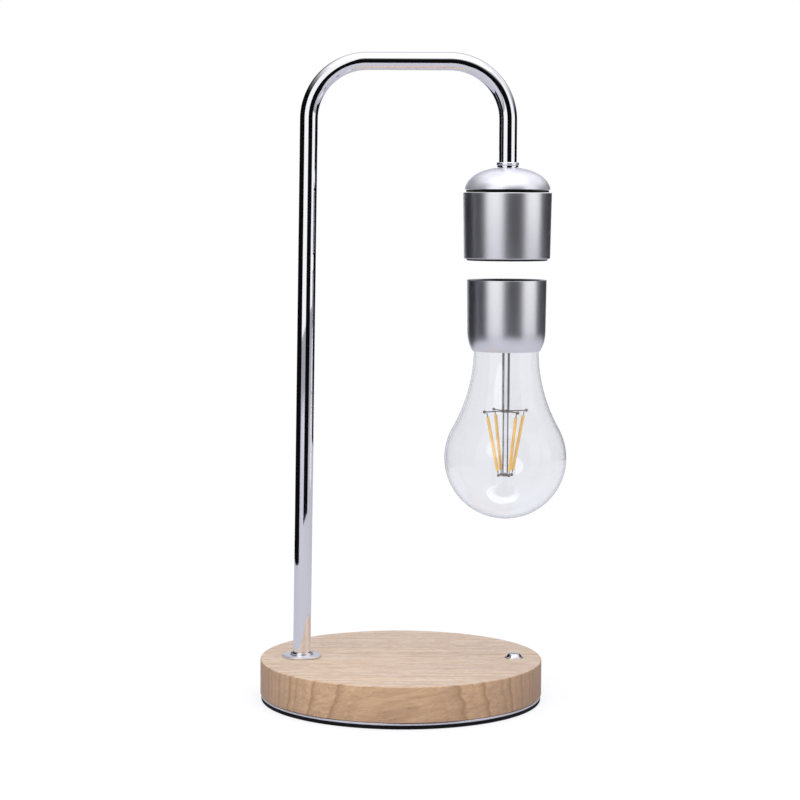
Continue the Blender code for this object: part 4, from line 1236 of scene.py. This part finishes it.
def make_stick(length):
    """The coated part, with ends rounded by the coat."""
    round_end = 0.0005
    low = bottom_tab - length
    section = [(0, -top_tab)]
    section += arc(stick_radius - round_end, -top_tab - round_end, round_end, 90, 0, 5)
    section += arc(stick_radius - round_end, low + round_end, round_end, 0, -90, 5)
    section.append((0, low))
    return turned(section, steps=32)


def make_tab(start, end):
    return turned([(0, start), (tab_radius, start), (tab_radius, end), (0, end)], steps=16)


for number, spoke in enumerate(spokes(), 1):
    high = spoke * filament_top_radius + Vector((0, 0, upper_z))
    low = spoke * lower_reach + Vector((0, 0, lower_z))
    run = (low - high).normalized()
    start = high + run * (carrier_wire_radius + tab_clearance)
    length = (low - high).length - carrier_wire_radius - bead_radius - 2 * tab_clearance
    stick = place_between(make_stick(length), start, low)
    add_piece(f"filament_coat_{number}", stick, "filament_amber", [f"filament_{number}"], bulb_x)
    tabs = joined([make_tab(0, -top_tab), make_tab(bottom_tab - length, -length)])
    tabs = place_between(tabs, start, low)
    add_piece(f"filament_tabs_{number}", tabs, "carrier_wire", [f"filament_{number}"], bulb_x)
print(f"filament length {1000 * length:.1f} mm")

# %% [markdown]
# ## Push button
# The switch is a low chrome button in a thin bushing. Both are turned. The button's side leans in towards a
# slightly domed top, because a thumb shouldn't feel a corner, and a leaning side mirrors the bright room, where
# an upright one would only mirror the wood in front of it.

# %% Push button


def make_bushing():
    low, high = height_range("button_bushing")
    rim = radius_of("button_bushing")
    wall, ease, bevel = 0.0005, 0.0002, 0.0001
    floor, stem_hole = low + 0.001, 0.0018
    section = [
        *arc(rim - ease, high - ease, ease, 90, 0, 4),
        (rim, low),
        (stem_hole, low),
        (stem_hole, floor),
        (rim - wall, floor),
        (rim - wall, high - bevel),
        (rim - wall + bevel, high),
    ]
    return turned(section, ring=True, steps=96)


def make_button():
    low, high = height_range("button_cap")
    cap, stem, crown, cap_low = radius_of("button_cap"), 0.0015, 0.0002, high - 0.004
    lean, slope_height, ease, crown_steps = 36, 0.0014, 0.0002, 8
    top_radius = cap - slope_height * math.tan(math.radians(lean))
    section = []
    for i in range(crown_steps + 1):
        share = i / crown_steps
        section.append(((top_radius - ease) * share, high - crown * share**2))
    section += arc(top_radius - ease, high - crown - ease, ease, 80, lean, 5)
    section += arc(cap - ease, high - crown - slope_height - ease, ease, lean, 0, 3)
    section += [(cap, cap_low), (stem, cap_low), (stem, low), (0, low)]
    return turned(section, steps=96)


add_piece("chrome_bushing", make_bushing(), "chrome", ["button_bushing"], button_x)
add_piece("chrome_button", make_button(), "chrome", ["button_cap"], button_x)
print("button rises to", round(height_range("button_cap")[1], 4))

# %% [markdown]
# ## Return spring
# A wound wire between the bushing and the cap lifts the button again. The wire is a curve with a round bevel,
# and its turns lie closer at both ends, as on a real spring. A spring doesn't move with the button, it gets
# shorter: so the piece stays on the stand.

# %% Return spring
spring_wire_radius = 0.0002
spring_turns = 3.5
points_per_turn = 24
end_closeness = 0.5


def make_spring():
    low, high = box_of("button_spring")
    radius = (high.y - low.y) / 2 - spring_wire_radius
    bottom = low.z + spring_wire_radius
    rise = high.z - low.z - 2 * spring_wire_radius
    curve = bpy.data.curves.new("spring_wire", "CURVE")
    curve.dimensions = "3D"
    curve.bevel_depth = spring_wire_radius
    curve.bevel_resolution = 3
    curve.use_fill_caps = True
    count = int(spring_turns * points_per_turn)
    wire = curve.splines.new("POLY")
    wire.points.add(count)
    for i, point in enumerate(wire.points):
        share = i / count
        height = bottom + rise * (share - end_closeness * math.sin(2 * math.pi * share) / (2 * math.pi))
        angle = 2 * math.pi * spring_turns * share
        point.co = (radius * math.cos(angle), radius * math.sin(angle), height, 1)
    return evaluated(linked("spring_wire", curve))


spring = add_piece("wound_spring", make_spring(), "steel", ["button_spring"], button_x, sharp_degrees=60)
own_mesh(spring)

# %% [markdown]
# ## Power inlet
# The back of the base has a barrel jack in a small recess: a threaded plastic body with a round opening and a
# thin centre pin. It is turned about its own axis and then laid so that this axis points backwards.

# %% Power inlet
jack_low, jack_high = box_of("dc_jack")
jack_flange = (jack_high.z - jack_low.z) / 2
jack_bore = 0.0028
bore_depth = 0.0088


def laid_back(mesh):
    """Turns an upright mesh so that its top points to the back of the base."""
    jack = centre_of("dc_jack")
    mesh.transform(Matrix.Translation((jack.x, 0, jack.z)) @ Matrix.Rotation(-math.pi / 2, 4, "X"))
    return mesh


def make_jack():
    front, inner_end = jack_high.y, jack_low.y
    bore, thread, ease = jack_bore, inlet_thread_radius, 0.0003
    bore_floor, flange_back = front - bore_depth, front - 0.001
    section = [
        (0, inner_end),
        (thread, inner_end),
        (thread, flange_back),
        (jack_flange, flange_back),
        *arc(jack_flange - ease, front - ease, ease, 0, 90, 4),
        *arc(bore + ease, front - ease, ease, 90, 180, 4),
        (bore, bore_floor),
        (0, bore_floor),
    ]
    return laid_back(turned(section[::-1], steps=96))


def make_jack_pin():
    tip, foot, pin = jack_high.y - 0.0012, jack_high.y - bore_depth + 0.0001, 0.001
    section = [(0, tip), *arc(0, tip - pin, pin, 80, 0, 6), (pin, foot), (0, foot)]
    return laid_back(turned(section, steps=32))


add_piece("jack_body", make_jack(), "black_plastic", ["dc_jack"])
add_piece("jack_pin", make_jack_pin(), "nickel", ["dc_jack"])
print(f"jack opening {2000 * jack_bore:.1f} mm at the back, {1000 * centre_of('dc_jack').z:.1f} mm up")

# %% [markdown]
# ## Studio: floor and background
# The lamp stands on a pale floor in a white room. To the camera, to mirrors and through glass the room is plain
# white, while for soft light on the surfaces it is dimmer, so that pale wood doesn't burn out. Light Path
# tells these rays apart. The floor still catches the lamp's soft shadow.

# %% Floor and background
floor_radius = 4.0
floor_drop = 0.0002
soft_light = 0.55
glow_near = 0.2
glow_far = 1.0


def ray_kind(tree, glossy_share):
    """1 where the camera or glass looks, and glossy_share where a polished surface looks."""
    path = tree.nodes.new("ShaderNodeLightPath").outputs
    direct = maths(tree, "MAXIMUM", path["Is Camera Ray"], path["Is Transmission Ray"])
    return maths(tree, "MAXIMUM", direct, maths(tree, "MULTIPLY", path["Is Glossy Ray"], glossy_share))


def empty_material(name):
    """A material without a shader, and its node tree."""
    material = bpy.data.materials.new(name)
    material.use_nodes = True
    material.node_tree.nodes.clear()
    return material, material.node_tree


def set_surface(tree, shader):
    output = tree.nodes.new("ShaderNodeOutputMaterial")
    tree.links.new(shader.outputs[0], output.inputs["Surface"])


def make_world():
    world = bpy.data.worlds.new("white_room")
    bpy.context.scene.world = world
    world.use_nodes = True
    tree = world.node_tree
    background = tree.nodes["Background"]
    strength = remap(tree, ray_kind(tree, 1.0), 0.0, 1.0, soft_light, 1.0)
    background.inputs["Color"].default_value = (1, 1, 1, 1)
    tree.links.new(strength, background.inputs["Strength"])


def make_floor():
    work = bmesh.new()
    bmesh.ops.create_circle(work, cap_ends=True, segments=96, radius=floor_radius)
    floor = linked("floor", mesh_from(work, "floor"))
    floor.location.z = -floor_drop
    material, tree = empty_material("floor_paper")
    paper = add_node(tree, "ShaderNodeBsdfDiffuse", None, Color=(0.50, 0.50, 0.56, 1))
    place = tree.nodes.new("ShaderNodeTexCoord").outputs["Object"]
    distance = add_node(tree, "ShaderNodeVectorMath", {"operation": "LENGTH"}, i0=place).outputs["Value"]
    share = maths(tree, "MULTIPLY", ray_kind(tree, 0.1), remap(tree, distance, glow_near, glow_far, 0.55, 1.0))
    glow_strength = remap(tree, distance, glow_near, glow_far, 1.42, 1.0)
    glow = add_node(tree, "ShaderNodeEmission", None, Color=(1, 1, 1, 1), Strength=glow_strength)
    both = add_node(tree, "ShaderNodeMixShader", None, i0=share, i1=paper.outputs[0], i2=glow.outputs[0])
    set_surface(tree, both)
    floor.data.materials.append(material)


make_world()
make_floor()
print("floor radius", floor_radius, "m")

# %% [markdown]
# ## Studio: cards for reflections
# The mirrors of the lamp need something to reflect that nobody sees directly. All these cards and cloths glow by
# themselves in an even tone, and they are hidden from the camera, from soft light, from shadows and from glass.

# %% Reflected cards


def make_glowing(name, strength=1.0):
    material, tree = empty_material(name)
    set_surface(tree, add_node(tree, "ShaderNodeEmission", None, Color=(1, 1, 1, 1), Strength=strength))
    return material, tree


def add_reflected_card(name, mesh, material):
    mesh.materials.append(material)
    card = linked(name, mesh)
    card.visible_camera = False
    card.visible_diffuse = False
    card.visible_shadow = False
    card.visible_transmission = False
    return card


def at_bearing(degrees, distance, height):
    """Bearing 0 is towards the camera, and positive bearings are to its right."""
    bearing = math.radians(degrees)
    return distance * math.sin(bearing), -distance * math.cos(bearing), height


def sheet(name, rows):
    """A curved sheet through rows of points, from the lowest row to the highest."""
    work = bmesh.new()
    made = [[work.verts.new(point) for point in row] for row in rows]
    for low_row, high_row in zip(made, made[1:]):
        for i in range(len(low_row) - 1):
            work.faces.new((low_row[i], low_row[i + 1], high_row[i + 1], high_row[i]))
    return mesh_from(work, name)


# %% [markdown]
# ## Studio: black flags
# Polished metal only shows shape if there is something dark to reflect. Photographers hang strips of black
# cloth round their table, out of the picture. Three curved flags stand here at the bearings where the tube in
# the picture shows its dark stripes. Two grey cards far behind the lamp give the cup and the post their greys.

# %% Black flags
flag_steps = 32
fade_margin = 0.001
flags = {
    "flag_left": (-156, -57, 0.55, 0.0, 0.56, 1.10, (0.004, 0.004, 0.005)),
    "flag_front": (-7, 48, 0.70, 0.0, 0.58, 0.92, (0.004, 0.004, 0.005)),
    "flag_right": (92, 158, 1.25, 0.0, 0.44, 1.30, (0.004, 0.004, 0.005)),
    "card_back": (158, 204, 1.4, 0.345, 0.45, 0.62, (0.20, 0.20, 0.25)),
    "card_low": (158, 204, 1.4, 0.0, 0.345, 0.345, (0.55, 0.57, 0.66)),
}


def make_flag_cloth(name, tone, fade_start, top):
    """Cloth that is evenly dark and fades out to the white of the room towards its upper edge."""
    material, tree = make_glowing(name)
    height = axes_of(tree, tree.nodes.new("ShaderNodeTexCoord").outputs["Object"])["Z"]
    smooth = {"interpolation_type": "SMOOTHSTEP"}
    limits = {"i1": fade_start, "i2": top + fade_margin, "i3": 0.0, "i4": 1.0}
    fade = add_node(tree, "ShaderNodeMapRange", smooth, i0=height, **limits)
    colour = colour_mix(tree, fade.outputs[0], (*tone, 1), (1, 1, 1, 1))
    tree.links.new(colour, tree.nodes["Emission"].inputs["Color"])
    return material


def make_flag(name, start, end, distance, bottom, fade_start, top, tone):
    """An upright sheet from one bearing to another."""
    bearings = [start + (end - start) * i / flag_steps for i in range(flag_steps + 1)]
    rows = [[at_bearing(bearing, distance, height) for bearing in bearings] for height in (bottom, top)]
    add_reflected_card(name, sheet(name, rows), make_flag_cloth(name, tone, fade_start, top))


for flag_name, facts in flags.items():
    make_flag(flag_name, *facts)
print("flags:", list(flags))

# %% [markdown]
# ## Studio: canopy and softbox
# Domed metal looks up into the room. Behind the lamp hangs a lavender-grey canopy, which gives the chrome dome
# its grey shoulders, and overhead an eight-sided softbox, whose faint image shows low in the glass.

# %% Canopy and softbox
canopy_radius = 1.9
canopy_centre = 0.25
canopy_first_bearing = 80
canopy_turn = 200
canopy_first_lift = 10
canopy_rise = 50
canopy_columns = 32
canopy_rows = 8
canopy_low = (0.17, 0.17, 0.25, 1)
canopy_high = (0.92, 0.92, 0.96, 1)
softbox_radius = 1.3
softbox_place = Vector((0.08, -0.45, 1.9))
softbox_target = 0.2
softbox_strength = 1.35


def make_canopy_cloth():
    """Darker where it hangs low behind the lamp, and paler towards its top and its two sides."""
    material, tree = make_glowing("canopy_cloth")
    axes = axes_of(tree, tree.nodes.new("ShaderNodeTexCoord").outputs["Object"])
    lift = remap(tree, axes["Z"], canopy_centre + 0.72, canopy_centre + 1.45, 0.0, 1.0)
    side = remap(tree, axes["Y"], 1.1, -0.1, 0.0, 0.75)
    colour = colour_mix(tree, maths(tree, "MAXIMUM", lift, side), canopy_low, canopy_high)
    tree.links.new(colour, tree.nodes["Emission"].inputs["Color"])
    return material


def make_canopy():
    """Part of a sphere behind the lamp."""
    bearings = [canopy_first_bearing + canopy_turn * i / canopy_columns for i in range(canopy_columns + 1)]
    rows = []
    for j in range(canopy_rows + 1):
        lift = math.radians(canopy_first_lift + canopy_rise * j / canopy_rows)
        height = canopy_centre + canopy_radius * math.sin(lift)
        rows.append([at_bearing(bearing, canopy_radius * math.cos(lift), height) for bearing in bearings])
    return add_reflected_card("canopy", sheet("canopy", rows), make_canopy_cloth())


def make_softbox():
    work = bmesh.new()
    bmesh.ops.create_circle(work, cap_ends=True, segments=8, radius=softbox_radius)
    cloth, _ = make_glowing("softbox_cloth", softbox_strength)
    card = add_reflected_card("softbox", mesh_from(work, "softbox"), cloth)
    card.location = softbox_place
    card.rotation_euler = (Vector((bulb_x, 0, softbox_target)) - softbox_place).to_track_quat("Z", "Y").to_euler()
    return card


make_canopy()
make_softbox()
print("softbox", 2 * softbox_radius, "m across")

# %% [markdown]
# ## Studio: lights
# A large soft light hangs over the lamp and a weaker one stands at the front left. They are hidden from
# reflections, because the white room already gives the mirrors their bright parts.

# %% Lights


def add_light(name, size, power, place, target):
    data = bpy.data.lights.new(name, "AREA")
    data.shape = "DISK"
    data.size = size
    data.energy = power
    light = linked(name, data)
    light.location = place
    light.rotation_euler = (Vector(target) - Vector(place)).to_track_quat("-Z", "Y").to_euler()
    light.visible_glossy = False
    light.visible_camera = False
    return light


add_light("top_light", 1.6, 19.0, (0.15, -0.1, 1.9), (0, 0, 0.1))
add_light("front_light", 1.2, 10.0, (-0.7, -1.7, 0.9), (0, 0, 0.12))

# %% Colour settings
bpy.context.scene.view_settings.view_transform = "Standard"
